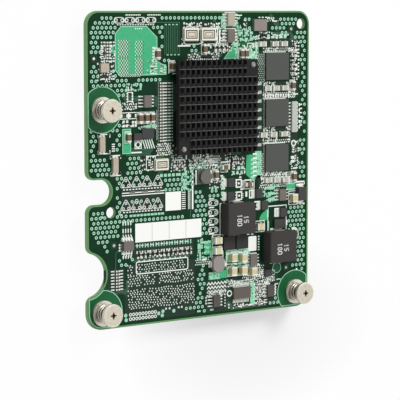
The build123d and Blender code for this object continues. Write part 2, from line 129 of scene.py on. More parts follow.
def solids(node):
    """Plan boxes of a node's solids: numbers spread along shared corners until each solid has its own."""
    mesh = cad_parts[node].data
    at = np.empty(3 * len(mesh.vertices))
    mesh.vertices.foreach_get("co", at)
    corners = np.empty(len(mesh.loops), int)
    mesh.loops.foreach_get("vertex_index", corners)
    places, number = np.unique((at.reshape(-1, 3) / MM).round(3), axis=0, return_inverse=True)
    triangles = number.reshape(-1)[corners].reshape(-1, 3)
    label = np.arange(len(places))
    settled = False
    while not settled:
        spread = label.copy()
        np.minimum.at(spread, triangles.reshape(-1), label[triangles].min(axis=1).repeat(3))
        settled = (spread == label).all()
        label = spread
    kinds, member = np.unique(label, return_inverse=True)
    low = np.full((len(kinds), 3), np.inf)
    high = -low
    np.minimum.at(low, member.reshape(-1), places)
    np.maximum.at(high, member.reshape(-1), places)
    return np.stack([low[:, 0], high[:, 0], low[:, 1], high[:, 1]], axis=1)


def grown(boxes, x, y):
    """Boxes made wider by x and longer by y on each side."""
    return np.asarray(boxes, float) + [-x, x, -y, y]


def ends(boxes, inner, outer, side):
    """Rectangles over both ends of every chip: from inner inside to outer beyond, side wider each way."""
    tall = (boxes[:, 3] - boxes[:, 2] > boxes[:, 1] - boxes[:, 0])[:, None]
    lying = np.where(tall, boxes[:, [2, 3, 0, 1]], boxes)
    a, b, foot, head = lying[:, 0], lying[:, 1], lying[:, 2] - side, lying[:, 3] + side
    both = np.concatenate([np.stack([a - outer, a + inner, foot, head], axis=1),
                           np.stack([b - inner, b + outer, foot, head], axis=1)])
    return np.where(np.concatenate([tall, tall]), both[:, [2, 3, 0, 1]], both)


# Raised shapes: each gives its points, its four-sided faces and its end faces

def prisms(flat, base=TOP, height=COPPER):
    """Closed outlines raised from base: each one's ring low and high, with walls, a top and a foot."""
    n, m = flat.shape[:2]
    points = np.concatenate([np.dstack([flat, np.full((n, m), z)]) for z in (base, base + height)], axis=1)
    start = np.arange(n)[:, None] * 2 * m
    i = np.arange(m)
    j = (i + 1) % m
    walls = np.stack([start + i, start + j, start + m + j, start + m + i], axis=2).reshape(-1, 4)
    return points.reshape(-1, 3), walls, np.concatenate([start + m + i, start + i[::-1]])


def plates(centres, outline, base=TOP, height=COPPER):
    """One closed outline raised at every centre."""
    return prisms(np.asarray(centres, float).reshape(-1, 1, 2) + np.asarray(outline, float), base, height)


def corners_of(boxes):
    """Four corners of every box, counter-clockwise, from its left, right, foot and head."""
    boxes = np.asarray(boxes, float)
    return np.stack([boxes[:, [0, 2]], boxes[:, [1, 2]], boxes[:, [1, 3]], boxes[:, [0, 3]]], axis=1)


def bars(boxes, base=TOP, height=COPPER):
    """Every box raised from base."""
    return prisms(corners_of(boxes), base, height)


def flat_piece(corners, base=TOP, height=COPPER):
    """Raised plate of one outline, its corners put counter-clockwise by the sign of their area."""
    corners = np.asarray(corners, float)
    area = (corners[:, 0] * np.roll(corners[:, 1], -1) - np.roll(corners[:, 0], -1) * corners[:, 1]).sum()
    return prisms((corners if area > 0 else corners[::-1])[None], base, height)


def set_off(paths, distance, closed):
    """Paths moved to their left: each point follows the bisector of its two runs, further at sharp turns."""
    run = np.roll(paths, -1, axis=1) - paths
    run = run / np.maximum(np.linalg.norm(run, axis=2, keepdims=True), 1e-9)
    if not closed:
        run[:, -1] = run[:, -2]
    before = np.roll(run, 1, axis=1)
    if not closed:
        before[:, 0] = run[:, 0]
    mean = before + run
    mean = mean / np.linalg.norm(mean, axis=2, keepdims=True)
    reach = distance / np.maximum((mean * run).sum(axis=2, keepdims=True), 0.4)
    return paths + reach * np.stack([-mean[..., 1], mean[..., 0]], axis=2)


def strokes(paths, width, closed=False, base=TOP, height=COPPER):
    """A raised line along each path: a rectangle width by height carried from point to point."""
    paths = np.asarray(paths, float)
    paths = paths[None] if paths.ndim == 2 else paths
    left = set_off(paths, width / 2, closed)
    right = set_off(paths, -width / 2, closed)
    n, k = paths.shape[:2]
    corners = [(right, base), (left, base), (left, base + height), (right, base + height)]
    points = np.stack([np.dstack([edge, np.full((n, k), z)]) for edge, z in corners], axis=2).reshape(-1, 3)
    station = np.arange(k if closed else k - 1)
    following = (station + 1) % k
    c = np.arange(4)
    quad = [station[:, None] * 4 + c, station[:, None] * 4 + (c + 1) % 4,
            following[:, None] * 4 + (c + 1) % 4, following[:, None] * 4 + c]
    faces = np.stack(quad, axis=2).reshape(-1, 4)
    if not closed:
        faces = np.concatenate([faces, [[3, 2, 1, 0]], [(k - 1) * 4 + c]])
    start = np.arange(n)[:, None, None] * 4 * k
    return points, (start + faces).reshape(-1, 4), np.empty((0, 4), int)


def rings(centres, outline, width, base=TOP, height=COPPER):
    """A closed line of one width round an outline at every centre."""
    paths = np.asarray(centres, float).reshape(-1, 1, 2) + np.asarray(outline, float)
    return strokes(paths, width, True, base, height)


def frames(boxes, width, base=TOP, height=INK):
    """A closed line of one width round every box."""
    return strokes(corners_of(boxes), width, True, base, height)


def bundle(path, count, spacing, width, base=TOP):
    """Lines side by side: one path set off to its left again and again."""
    path = np.asarray(path, float)[None]
    lines = np.concatenate([set_off(path, i * spacing, False) for i in range(count)])
    return strokes(lines, width, base=base, height=0.02)


def piece(name, parts, material):
    """One object of several raised shapes, each one's face numbers moved past the points before it."""
    start = np.cumsum([0] + [len(part[0]) for part in parts])
    points = np.concatenate([part[0] for part in parts]) * MM
    groups = [faces + first for part, first in zip(parts, start) for faces in part[1:]]
    sizes = np.concatenate([np.full(len(faces), faces.shape[1]) for faces in groups])
    corners = np.concatenate([faces.reshape(-1) for faces in groups])
    mesh = bpy.data.meshes.new(name)
    mesh.vertices.add(len(points))
    mesh.vertices.foreach_set("co", points.reshape(-1))
    mesh.loops.add(len(corners))
    mesh.loops.foreach_set("vertex_index", corners)
    mesh.polygons.add(len(sizes))
    mesh.polygons.foreach_set("loop_start", np.cumsum(sizes) - sizes)
    mesh.update(calc_edges=True)
    mesh.shade_flat()
    mesh.materials.append(finishes[material])
    made = bpy.data.objects.new(name, mesh)
    bpy.context.collection.objects.link(made)
    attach(made, "card")
    return made


# Finishes

def tint(r, g, b):
    """Linear colour of a screen colour in bytes: each channel to the power 2.4 after its offset."""
    c = np.array([r, g, b]) / 255
    linear = np.where(c <= 0.04045, c / 12.92, ((c + 0.055) / 1.055) ** 2.4)
    return (*linear.tolist(), 1.0)


def finish(name, low, high, rough=0.5, metal=0.0, grain=900.0, wander=0.08, bump=0.0, shine=0.5):
    """Surface between two colours by a noise on Object coordinates that also moves roughness and height."""
    material = bpy.data.materials.new(name)
    material.use_nodes = True
    nodes, links = material.node_tree.nodes, material.node_tree.links
    shader = nodes["Principled BSDF"]
    where = nodes.new("ShaderNodeTexCoord")
    noise = nodes.new("ShaderNodeTexNoise")
    noise.inputs["Scale"].default_value = grain
    noise.inputs["Detail"].default_value = 4.0
    links.new(where.outputs["Object"], noise.inputs["Vector"])
    mix = nodes.new("ShaderNodeMix")
    mix.data_type = "RGBA"
    mix.inputs["A"].default_value = tint(*low)
    mix.inputs["B"].default_value = tint(*high)
    links.new(noise.outputs["Fac"], mix.inputs["Factor"])
    links.new(mix.outputs["Result"], shader.inputs["Base Color"])
    spread = nodes.new("ShaderNodeMapRange")
    spread.inputs["To Min"].default_value = max(rough - wander, 0.05)
    spread.inputs["To Max"].default_value = min(rough + wander, 1.0)
    links.new(noise.outputs["Fac"], spread.inputs["Value"])
    links.new(spread.outputs["Result"], shader.inputs["Roughness"])
    shader.inputs["Metallic"].default_value = metal
    shader.inputs["Specular IOR Level"].default_value = shine
    if bump:
        relief = nodes.new("ShaderNodeBump")
        relief.inputs["Strength"].default_value = bump
        relief.inputs["Distance"].default_value = 0.00005
        links.new(noise.outputs["Fac"], relief.inputs["Height"])
        links.new(relief.outputs["Normal"], shader.inputs["Normal"])
    return material


def math(material, operation, *values):
    """Result of one Math node on sockets and numbers."""
    node = material.node_tree.nodes.new("ShaderNodeMath")
    node.operation = operation
    for socket, value in zip(node.inputs, values):
        if isinstance(value, float):
            socket.default_value = value
        else:
            material.node_tree.links.new(value, socket)
    return node.outputs["Value"]


def axes(material, output):
    """The three parts of a coordinate: Object, in metres, or Normal, of length 1."""
    where = material.node_tree.nodes.new("ShaderNodeTexCoord")
    split = material.node_tree.nodes.new("ShaderNodeSeparateXYZ")
    material.node_tree.links.new(where.outputs[output], split.inputs["Vector"])
    return split.outputs["X"], split.outputs["Y"], split.outputs["Z"]


def upright(material):
    """1 on faces that stand upright, 0 on level ones."""
    return math(material, "SUBTRACT", 1.0, math(material, "ABSOLUTE", axes(material, "Normal")[2]))


def overlay(material, share, colour):
    """Lays a colour over a finish by a share."""
    nodes, links = material.node_tree.nodes, material.node_tree.links
    base = nodes["Principled BSDF"].inputs["Base Color"]
    mix = nodes.new("ShaderNodeMix")
    mix.data_type = "RGBA"
    mix.inputs["B"].default_value = tint(*colour)
    links.new(base.links[0].from_socket, mix.inputs["A"])
    links.new(share, mix.inputs["Factor"])
    links.new(mix.outputs["Result"], base)
    return material


def solder_mask():
    """Dark green mask over clouded copper, with bare light green fibre on the board's upright faces."""
    material = finish("solder_mask", (1, 36, 18), (7, 60, 32), rough=0.4, grain=260.0, shine=0.12)
    return overlay(material, upright(material), (132, 172, 118))


def painted_side_shade(material, most):
    """Share of a painted shade that grows to most on faces turned to -X: the sixth power of the normal's part
    along it.
    """
    turned = math(material, "MULTIPLY", math(material, "MINIMUM", axes(material, "Normal")[0], 0.0), -1.0)
    return math(material, "MULTIPLY", math(material, "POWER", turned, 6.0), most)


def wire():
    """Bright drawn wire, with a painted brown shade under each coil and on the side turned to -X."""
    material = finish("wire", (216, 208, 190), (250, 245, 230), 0.3, metal=0.7, grain=700.0)
    # Painted shade: dark brown on the underside of every coil and on the side turned to -X
    under = math(material, "LESS_THAN", axes(material, "Normal")[2], -0.15)
    overlay(material, under, (62, 46, 34))
    return overlay(material, painted_side_shade(material, 0.85), (62, 46, 34))


def screw_head(name, x, y):
    """Screw: painted highlight on level faces past a radius, painted shade for the cross recess where |dx| or
    |dy| from (x, y) is small, painted brown shade on the shank.
    """
    highlight_r, cross_half, cross_r, shank_r, shank_foot = 3.75, 0.28, 1.3, 2.9, 8.3
    material = finish(name, (184, 176, 158), (228, 221, 202), 0.42, metal=0.5, grain=900.0, bump=0.15)
    across, along, height = axes(material, "Object")
    dx = math(material, "ABSOLUTE", math(material, "SUBTRACT", across, x * MM))
    dy = math(material, "ABSOLUTE", math(material, "SUBTRACT", along, y * MM))
    square = math(material, "ADD", math(material, "POWER", dx, 2.0), math(material, "POWER", dy, 2.0))
    radius = math(material, "POWER", square, 0.5)
    level = math(material, "SUBTRACT", 1.0, upright(material))
    # Painted highlight on the level faces past highlight_r from the screw's axis
    rim = math(material, "MULTIPLY", level, math(material, "GREATER_THAN", radius, highlight_r * MM))
    # Painted shade standing in for the cross recess, which is not modelled: a dark cross near the axis on
    # level faces
    arms = math(material, "LESS_THAN", math(material, "MINIMUM", dx, dy), cross_half * MM)
    cross = math(material, "MULTIPLY", arms, math(material, "LESS_THAN", radius, cross_r * MM))
    # Painted shade on the shank's upright faces inside the spring
    inside = math(material, "LESS_THAN", radius, shank_r * MM)
    above = math(material, "GREATER_THAN", height, shank_foot * MM)
    shank = math(material, "MULTIPLY", upright(material), math(material, "MULTIPLY", inside, above))
    overlay(material, rim, (250, 246, 236))
    overlay(material, shank, (104, 88, 72))
    return overlay(material, math(material, "MULTIPLY", level, cross), (84, 52, 40))


def plated():
    """Bright plating on the bushes, with a painted brown shade on the sides turned to -X."""
    material = finish("plated", (196, 188, 168), (253, 250, 240), 0.3, metal=0.5, grain=230.0)
    return overlay(material, painted_side_shade(material, 0.8), (96, 78, 60))


def packages():
    """Grey moulded packages, the one past Y = 50 mm in cream and those below Y = -46 mm darker."""
    material = finish("outline_epoxy", (96, 91, 84), (122, 116, 107), 0.6, grain=5000.0, bump=0.3)
    along = axes(material, "Object")[1]
    overlay(material, math(material, "LESS_THAN", along, -46.0 * MM), (76, 74, 70))
    return overlay(material, math(material, "GREATER_THAN", along, 50.0 * MM), (176, 170, 152))


finishes = {
    "solder_mask": solder_mask(),
    "rim": finish("rim", (84, 138, 82), (112, 164, 108), 0.5, shine=0.2),
    "pad": finish("pad", (156, 218, 184), (188, 236, 208), 0.4, shine=0.3),
    "pad_eye": finish("pad_eye", (8, 58, 34), (20, 76, 46), 0.5, shine=0.3),
    "mint": finish("mint", (140, 206, 172), (176, 228, 198), 0.4, grain=1800.0, shine=0.3),
    "pour": finish("pour", (52, 166, 112), (84, 190, 138), 0.4, grain=1500.0, shine=0.15),
    "pale_pour": finish("pale_pour", (116, 202, 158), (158, 228, 190), 0.4, grain=700.0, shine=0.2),
    "plane": finish("plane", (12, 84, 44), (24, 104, 58), 0.4, grain=250.0, shine=0.2),
    "grey_plane": finish("grey_plane", (24, 44, 34), (38, 60, 46), 0.5, grain=700.0, shine=0.2),
    "fanout": finish("fanout", (84, 172, 124), (116, 194, 148), 0.4, grain=900.0, shine=0.2),
    "trace": finish("trace", (58, 108, 80), (84, 132, 102), 0.4, shine=0.2),
    "ink": finish("ink", (240, 246, 237), (252, 254, 249), 0.7),
    "paper": finish("paper", (246, 247, 243), (253, 253, 250), 0.8, grain=2500.0, shine=0.1),
    "grey_ink": finish("grey_ink", (150, 152, 148), (170, 172, 168), 0.7),
    "land": finish("land", (214, 225, 211), (248, 253, 246), 0.45, grain=1800.0),
    "dull_land": finish("dull_land", (138, 162, 146), (204, 216, 202), 0.5, grain=1500.0),
    "tin": finish("tin", (218, 220, 212), (244, 246, 238), 0.34, metal=0.3, grain=1600.0, bump=0.2),
    "dull_tin": finish("dull_tin", (150, 150, 142), (186, 186, 178), 0.42, metal=0.6, grain=2500.0, bump=0.3),
    "gold": finish("gold", (196, 158, 84), (222, 186, 112), 0.3, metal=1.0),
    "plated": plated(),
    "pin_metal": finish("pin_metal", (70, 68, 66), (206, 202, 194), 0.4, metal=0.5, grain=1600.0, bump=0.3),
    "wide_epoxy": finish("wide_epoxy", (78, 74, 66), (104, 98, 88), 0.6, grain=3000.0, bump=0.3),
    "array": finish("array", (150, 156, 146), (216, 222, 212), 0.6, grain=1500.0, bump=0.3),
    "steel": finish("steel", (132, 124, 112), (168, 158, 142), 0.3, metal=1.0, grain=700.0),
    "black_plastic": finish("black_plastic", (22, 22, 22), (34, 34, 33), 0.55, grain=4000.0, bump=0.3),
    "anodised": finish("anodised", (22, 21, 22), (52, 50, 50), 0.5, grain=3500.0, bump=0.25, shine=0.12),
    # Painted highlight for the rows of fins on the heat sink
    "painted_fin_highlight": finish("painted_fin_highlight", (88, 87, 85), (118, 117, 114), 0.4, metal=0.4, grain=2500.0),
    "epoxy": finish("epoxy", (56, 56, 56), (72, 71, 72), 0.6, grain=6000.0, bump=0.3, shine=0.3),
    "outline_epoxy": packages(),
    "wire": wire(),
    "dark_epoxy": finish("dark_epoxy", (40, 40, 36), (54, 53, 49), 0.6, grain=6000.0, bump=0.3, shine=0.3),
    "grey_epoxy": finish("grey_epoxy", (128, 120, 112), (148, 140, 132), 0.6, grain=4000.0, bump=0.3),
    "memory_epoxy": finish("memory_epoxy", (70, 73, 70), (84, 87, 83), 0.6, grain=6000.0, bump=0.3,
                           shine=0.3),
    "powder": finish("powder", (36, 35, 34), (78, 74, 72), 0.66, grain=2600.0, wander=0.12, bump=0.6,
                     shine=0.25),
    "ferrite": finish("ferrite", (134, 128, 122), (158, 150, 144), 0.6, grain=3000.0, bump=0.4),
    "laminate": finish("laminate", (16, 60, 34), (26, 78, 46), 0.5),
    "cream": finish("cream", (190, 178, 132), (228, 218, 176), 0.5, grain=900.0),
    "brown": finish("brown", (92, 74, 52), (126, 106, 78), 0.5, grain=900.0),
    "stone": finish("stone", (166, 166, 150), (200, 200, 184), 0.5, grain=900.0),
    "rim_metal": finish("rim_metal", (188, 182, 162), (226, 220, 200), 0.4, metal=0.3, grain=1500.0),
    "resistor": finish("resistor", (62, 58, 52), (88, 82, 74), 0.55, grain=2500.0),
    "drum": finish("drum", (84, 85, 78), (110, 110, 102), 0.5, grain=2500.0, bump=0.4),
    "beige": finish("beige", (168, 156, 138), (200, 188, 170), 0.55, grain=1200.0),
    "lid": finish("lid", (196, 188, 168), (228, 222, 204), 0.32, metal=0.5, grain=900.0),
    "lid_line": finish("lid_line", (64, 52, 40), (90, 76, 60), 0.5),
    "glass_coat": finish("glass_coat", (134, 132, 122), (170, 168, 156), 0.45, grain=2500.0),
    "silicone": finish("silicone", (130, 130, 134), (150, 150, 154), 0.8),
}

node_finishes = {
    "board": "solder_mask", "connector_housing": "black_plastic", "connector_contacts": "gold",
    "ferrules": "plated", "ring": "steel", "spring": "wire", "chip_balls": "dull_tin",
    "memory_balls": "dull_tin", "chip_substrate": "laminate", "chip_lid": "steel", "thermal_pad": "silicone",
    "heat_sink": "anodised", "push_pins": "pin_metal", "memory_chips": "memory_epoxy",
    "outline_bodies": "outline_epoxy", "wide_body": "wide_epoxy", "leadless_bodies": "epoxy",
    "large_leadless_body": "grey_epoxy", "power_transistors": "dark_epoxy",
    "small_transistors": "epoxy", "diode_body": "epoxy", "outline_leads": "tin", "wide_leads": "tin",
    "transistor_tabs": "tin", "inductor_straps": "dull_tin", "choke_clips": "tin", "filter_terminals": "tin",
    "array_terminals": "tin", "diode_leads": "tin", "large_chip_ends": "tin", "brown_chip_ends": "tin",
    "grey_chip_ends": "tin", "inductor_cores": "powder", "drum_choke": "drum", "octagon_choke": "ferrite",
    "oscillator_bases": "rim_metal", "oscillator_lids": "lid", "large_chip_bodies": "cream",
    "brown_chip_bodies": "brown", "grey_chip_bodies": "stone", "tiny_chips": "resistor",
    "rear_chips": "brown", "line_filters": "beige", "filter_array": "array", "ceramic_block": "beige",
}
for station, (x, y) in STATIONS.items():
    node_finishes["screw_" + station] = "head_" + station
    finishes["head_" + station] = screw_head("head_" + station, x, y)
for node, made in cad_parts.items():
    key = node if node in node_finishes else node.split("_")[0]
    made.data.materials.clear()
    made.data.materials.append(finishes[node_finishes[key]])


# Board edge and the clear rings round the screws

head_corner_r, foot_corner_r = 5.1, 6.0
slot_y, slot_r, slot_depth = -7.395, 4.5, 5.9
bite_y, bite_r = -37.2, 8.0
mouth_r = 3.0


def board_outline():
    """The board's edge, counter-clockwise, as one line of corner arcs, slot and bite."""
    rise = ((bite_r + mouth_r) ** 2 - mouth_r ** 2) ** 0.5
    lean = np.degrees(np.arctan2(rise, mouth_r))
    mouth_x = LEFT + mouth_r
    line = np.concatenate([
        arc(RIGHT - head_corner_r, HEAD - head_corner_r, head_corner_r, 0, 90),
        arc(LEFT + head_corner_r, HEAD - head_corner_r, head_corner_r, 90, 180),
        arc(mouth_x, slot_y + slot_r + mouth_r, mouth_r, 180, 270),
        arc(LEFT + slot_depth, slot_y, slot_r, 90, -90, 18),
        arc(mouth_x, slot_y - slot_r - mouth_r, mouth_r, 90, 180),
        arc(mouth_x, bite_y + rise, mouth_r, 180, 180 + lean),
        arc(LEFT, bite_y, bite_r, lean, -lean, 24),
        arc(mouth_x, bite_y - rise, mouth_r, 180 - lean, 180),
        arc(LEFT + foot_corner_r, FOOT + foot_corner_r, foot_corner_r, 180, 270),
        arc(RIGHT - foot_corner_r, FOOT + foot_corner_r, foot_corner_r, 270, 360),
    ])
    return line[np.linalg.norm(line - np.roll(line, 1, axis=0), axis=1) > 0.02]


def kept_on_board(points, inset):
    """Points drawn back inside the edge: clamped at the sides, then onto corner arcs and the bite."""
    points = np.clip(points, [LEFT + inset, FOOT + inset], [RIGHT - inset, HEAD - inset])
    corner_y, corner_r = FOOT + foot_corner_r, foot_corner_r - inset
    for x, y, r, outside in ((LEFT + foot_corner_r, corner_y, corner_r, (-1, -1)),
                             (RIGHT - foot_corner_r, corner_y, corner_r, (1, -1)),
                             (LEFT, bite_y, bite_r + inset, None)):
        away = points - [x, y]
        distance = np.maximum(np.linalg.norm(away, axis=1, keepdims=True), 1e-9)
        if outside is None:
            moved = distance[:, 0] < r
        else:
            moved = (away * outside > 0).all(axis=1) & (distance[:, 0] > r)
        points = np.where(moved[:, None], [x, y] + away / distance * r, points)
    return points


edge_line = board_outline()[None]
piece("board_rim", [strokes(set_off(edge_line, 0.33, True), 0.6, True, height=0.02)], "rim")
clear_r, edge_gap = 8.3, 0.72
clear_rings = [kept_on_board(arc(x, y, clear_r, 0, 360, 61)[:-1], edge_gap) for x, y in STATIONS.values()]
piece("clear_areas", [prisms(ring[None], height=0.02) for ring in clear_rings], "plane")
piece("clear_lines", [strokes(ring[None], 0.3, True) for ring in clear_rings], "mint")


# Stitching pads, as runs of one pitch: the runs' place along Y, then where each starts and its count of pads

stitch_pitch = 1.85
stitch_pad, stitch_hole = disc(0.62, 12), disc(0.28, 8)
stitch_runs = {
    54.6: ((-44.0, 3), (-18.1, 15)), 52.9: ((-46.9, 5),), 51.2: ((-47.8, 6), (-21.9, 3)),
    49.5: ((-48.6, 6), (-19.1, 1)), 47.8: ((-47.8, 5), (-18.1, 1)), 46.0: ((-48.6, 2),),
    44.3: ((-47.8, 2), (-18.2, 1), (-3.8, 1)), 42.6: ((-48.6, 3), (-4.8, 2)), 39.2: ((-17.1, 2),),
    37.4: ((-47.6, 1),), 35.7: ((-48.6, 2), (-39.4, 1)), 34.0: ((-47.8, 2), (-38.5, 1)),
    32.3: ((-48.6, 2), (-37.6, 3), (-28.4, 6)), 30.6: ((-47.8, 8), (-29.4, 2)), 28.8: ((-37.6, 3),),
    27.1: ((-37.0, 2),), 16.2: ((-36.9, 1),), 14.5: ((-48.9, 1), (-39.7, 2)),
    12.7: ((-48.0, 1), (-36.9, 1)), 11.0: ((-48.9, 2), (-37.9, 1)), 9.3: ((-48.0, 1), (-36.9, 1)),
    7.6: ((-48.9, 1), (-37.9, 1)), 5.8: ((-48.0, 1),), 4.1: ((-48.9, 4), (-32.3, 3)),
    2.3: ((-48.0, 4), (-33.3, 3)), 0.6: ((-48.9, 5), (-32.3, 3)), -1.1: ((-46.1, 3), (-33.3, 4)),
    -2.9: ((-37.9, 2), (-32.2, 1), (-26.8, 1)), -4.6: ((-37.0, 1), (-16.7, 5)),
    -6.4: ((-37.9, 1), (-15.7, 4)), -8.1: ((-16.6, 5),), -9.8: ((-37.9, 1), (-2.9, 2), (4.5, 2)),
    -11.6: ((-36.9, 1), (-31.5, 1), (-27.5, 1), (-22.2, 1), (-2.0, 2), (3.5, 3)),
    -13.2: ((-37.9, 1), (-2.9, 3)), -15.0: ((-48.0, 3), (-36.9, 1), (-2.0, 3)),
    -16.7: ((-48.9, 4), (-37.9, 3), (-2.9, 3)), -18.5: ((-48.0, 22), (-3.9, 4)),
    -20.2: ((-48.9, 7), (0.9, 1)), -21.9: ((-48.0, 6), (0.0, 2)), -23.6: ((-47.0, 6), (0.9, 1)),
    -25.4: ((-46.1, 3), (0.0, 2)), -27.1: ((-43.4, 1),), -28.9: ((-42.4, 1),),
    -32.7: ((-37.1, 1), (-31.5, 1)), -34.4: ((-36.2, 2),), -37.6: ((0.4, 1),), -39.2: ((-0.1, 1),),
    -40.9: ((-1.1, 2), (43.3, 4)), -42.6: ((-2.0, 2), (47.9, 1)), -44.4: ((-1.0, 2), (11.6, 1)),
    -46.1: ((-0.1, 1),), -47.9: ((-1.0, 1),), -49.6: ((-2.0, 2),), -51.3: ((-2.8, 2),),
    -53.0: ((-7.4, 5), (34.9, 1)), -54.7: ((0.9, 1), (32.3, 3)), 54.0: ((36.8, 5), (19.9, 2)),
    52.3: ((37.6, 4),), 50.7: ((32.9, 4), (21.9, 1)), 48.9: ((37.6, 2), (45.0, 3)),
    47.1: ((44.1, 3), (23.9, 2)), 45.4: ((46.8, 2),), 43.8: ((47.6, 1),), 42.0: ((48.6, 1),),
    40.2: ((47.6, 1),), 38.5: ((46.8, 2),), 36.8: ((47.6, 1),), 35.2: ((48.6, 1),), 33.4: ((47.6, 1),),
    31.7: ((48.6, 1),), 30.0: ((47.6, 1),), 28.4: ((46.8, 2),), 26.6: ((47.7, 1),), 24.8: ((48.8, 1),),
    23.1: ((47.7, 1),), 21.3: ((48.8, 1),), 17.9: ((48.8, 1),), 16.1: ((47.7, 1),), 14.4: ((46.9, 2),),
    10.9: ((48.8, 1),), 7.5: ((46.8, 2),), 5.9: ((47.8, 1),), 4.0: ((46.8, 2),), 2.4: ((47.8, 1),),
    -1.2: ((42.2, 1), (45.9, 2)), -3.0: ((46.8, 2),), -4.7: ((47.8, 1),), -6.5: ((46.8, 2),),
    -18.4: ((42.2, 4),), -20.1: ((41.3, 5),), -21.8: ((42.2, 4),), -23.5: ((41.3, 5),), -25.3: ((42.2, 4),),
    -27.0: ((41.3, 1), (46.8, 2)), -28.8: ((47.8, 1),), -30.5: ((46.8, 2),), -32.2: ((44.2, 3),),
    -33.9: ((45.0, 3),), -35.7: ((46.0, 2),), -37.4: ((45.0, 3),), -39.1: ((46.0, 2),),
}
stitches = np.concatenate([np.stack([start + stitch_pitch * np.arange(count), np.full(count, y)], axis=1)
                           for y, row in stitch_runs.items() for start, count in row])
piece("stitching_pads", [plates(stitches, stitch_pad)], "pad")
piece("stitching_holes", [plates(stitches, stitch_hole, TOP + COPPER, FILM)], "pad_eye")


# Coil springs, drawn in place of the CAD springs, which are hidden

def helix(x, y, foot, head, r, wire_r, turns, steps=108, sides=8):
    """Round wire about (x, y): it turns evenly while its height rises slower at both ends, by a sine."""
    share = np.linspace(0, 1, steps + 1)
    around = 2 * np.pi * turns * share
    eased = share - 0.6 * np.sin(2 * np.pi * share) / (2 * np.pi)
    rise = foot + wire_r + (head - foot - 2 * wire_r) * eased
    b = np.arange(sides) * 2 * np.pi / sides
    reach = r + wire_r * np.cos(b)
    points = np.stack([x + np.outer(np.cos(around), reach), y + np.outer(np.sin(around), reach),
                       rise[:, None] + wire_r * np.sin(b)], axis=2).reshape(-1, 3)
    ring = np.arange(steps)[:, None] * sides
    i = np.arange(sides)
    j = (i + 1) % sides
    walls = np.stack([ring + i, ring + sides + i, ring + sides + j, ring + j], axis=2).reshape(-1, 4)
    return points, walls, np.stack([i, steps * sides + i[::-1]])


spring_r, spring_wire_r, spring_turns = 3.1, 0.35, 3
for station, (x, y) in STATIONS.items():
    spring_foot, spring_head = extent("spring_" + station)[:, 2].tolist()
    wound = helix(x, y, spring_foot, spring_head, spring_r, spring_wire_r, spring_turns)
    coil = piece("coil_" + station, [wound], "wire")
    coil.data.shade_smooth()
    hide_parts("spring_" + station)
    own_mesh(coil)


# Copper under the mask

left_pour = [(-36, 51.6), (-38.5, 49), (-38.5, 36), (-36.5, 34), (-16.3, 34.2), (-16.3, 37), (-18.5, 38),
             (-20.4, 39), (-20.4, 47.6), (-25, 51.6)]
pours = [
    left_pour,
    [(-35.5, 6), (-32, 6), (-32, 14.8), (-35.5, 14.8)],
    [(20.5, 3), (20.5, -4.5), (23.0, -6.5), (25.0, -6.5), (25.0, 3)],
    [(27, -21.5), (28, -20), (31, -17.7), (31, -22.5), (27, -22.5)],
    [(40, -8.8), (40, -11.5), (44.5, -11.5), (44.5, -8.8)],
    [(8, -43), (11.5, -43), (11.5, -40), (9.5, -40), (8, -41.5)],
    [(1, -28.5), (4, -28.5), (4, -33.5), (1, -33.5)],
    [(-41, 42), (-39, 42), (-39, 45), (-41, 45)],
    [(10.0, 39.4), (15.2, 39.6), (15.6, 42.9), (13.8, 43.5), (12.2, 42.0)],
]
bare_planes = [
    [(11.5, -36.6), (21, -37.2), (21, -39.2), (11.5, -39.2)],
    [(14.5, 50), (17, 50), (17, 53), (14.5, 53)],
    [(16.5, 42), (25, 42), (25, 45.5), (16.5, 45.5)],
]
round_plane, round_outline = [(35.5, -41.2)], disc(2.0, 24)
piece("bright_copper", [flat_piece(corners) for corners in pours], "pour")
piece("dark_copper", [flat_piece(corners) for corners in bare_planes] + [plates(round_plane, round_outline)],
      "plane")
piece("copper_borders", [strokes([left_pour], 0.3, True, TOP + COPPER, FILM),
                         rings(round_plane, round_outline, 0.25, TOP + COPPER, FILM)]
      + [strokes([corners], 0.25, True, TOP + COPPER, FILM) for corners in pours[1:2] + pours[-1:]],
      "mint")

grey_areas = [
    (-34.8, -3.4, -55.4, -43.0), (-34.0, -3.4, -43.0, -34.6), (-44.0, -35.0, -45.2, -35.6),
    (-31.0, -4.0, -33.4, -27.2), (1.5, 36.0, -55.6, -43.6), (-20.6, -12.0, 3.0, 32.0),
    (25.8, 29.4, -6.0, 42.0), (-36.0, -17.5, -15.6, -7.0), (26.0, 45.0, -10.5, -4.2),
    (28.0, 45.4, 42.6, 47.6), (29.5, 45.4, 24.2, 30.6), (29.5, 45.4, 6.8, 12.8),
]
piece("routed_areas", [bars(grey_areas, height=0.012)], "grey_plane")

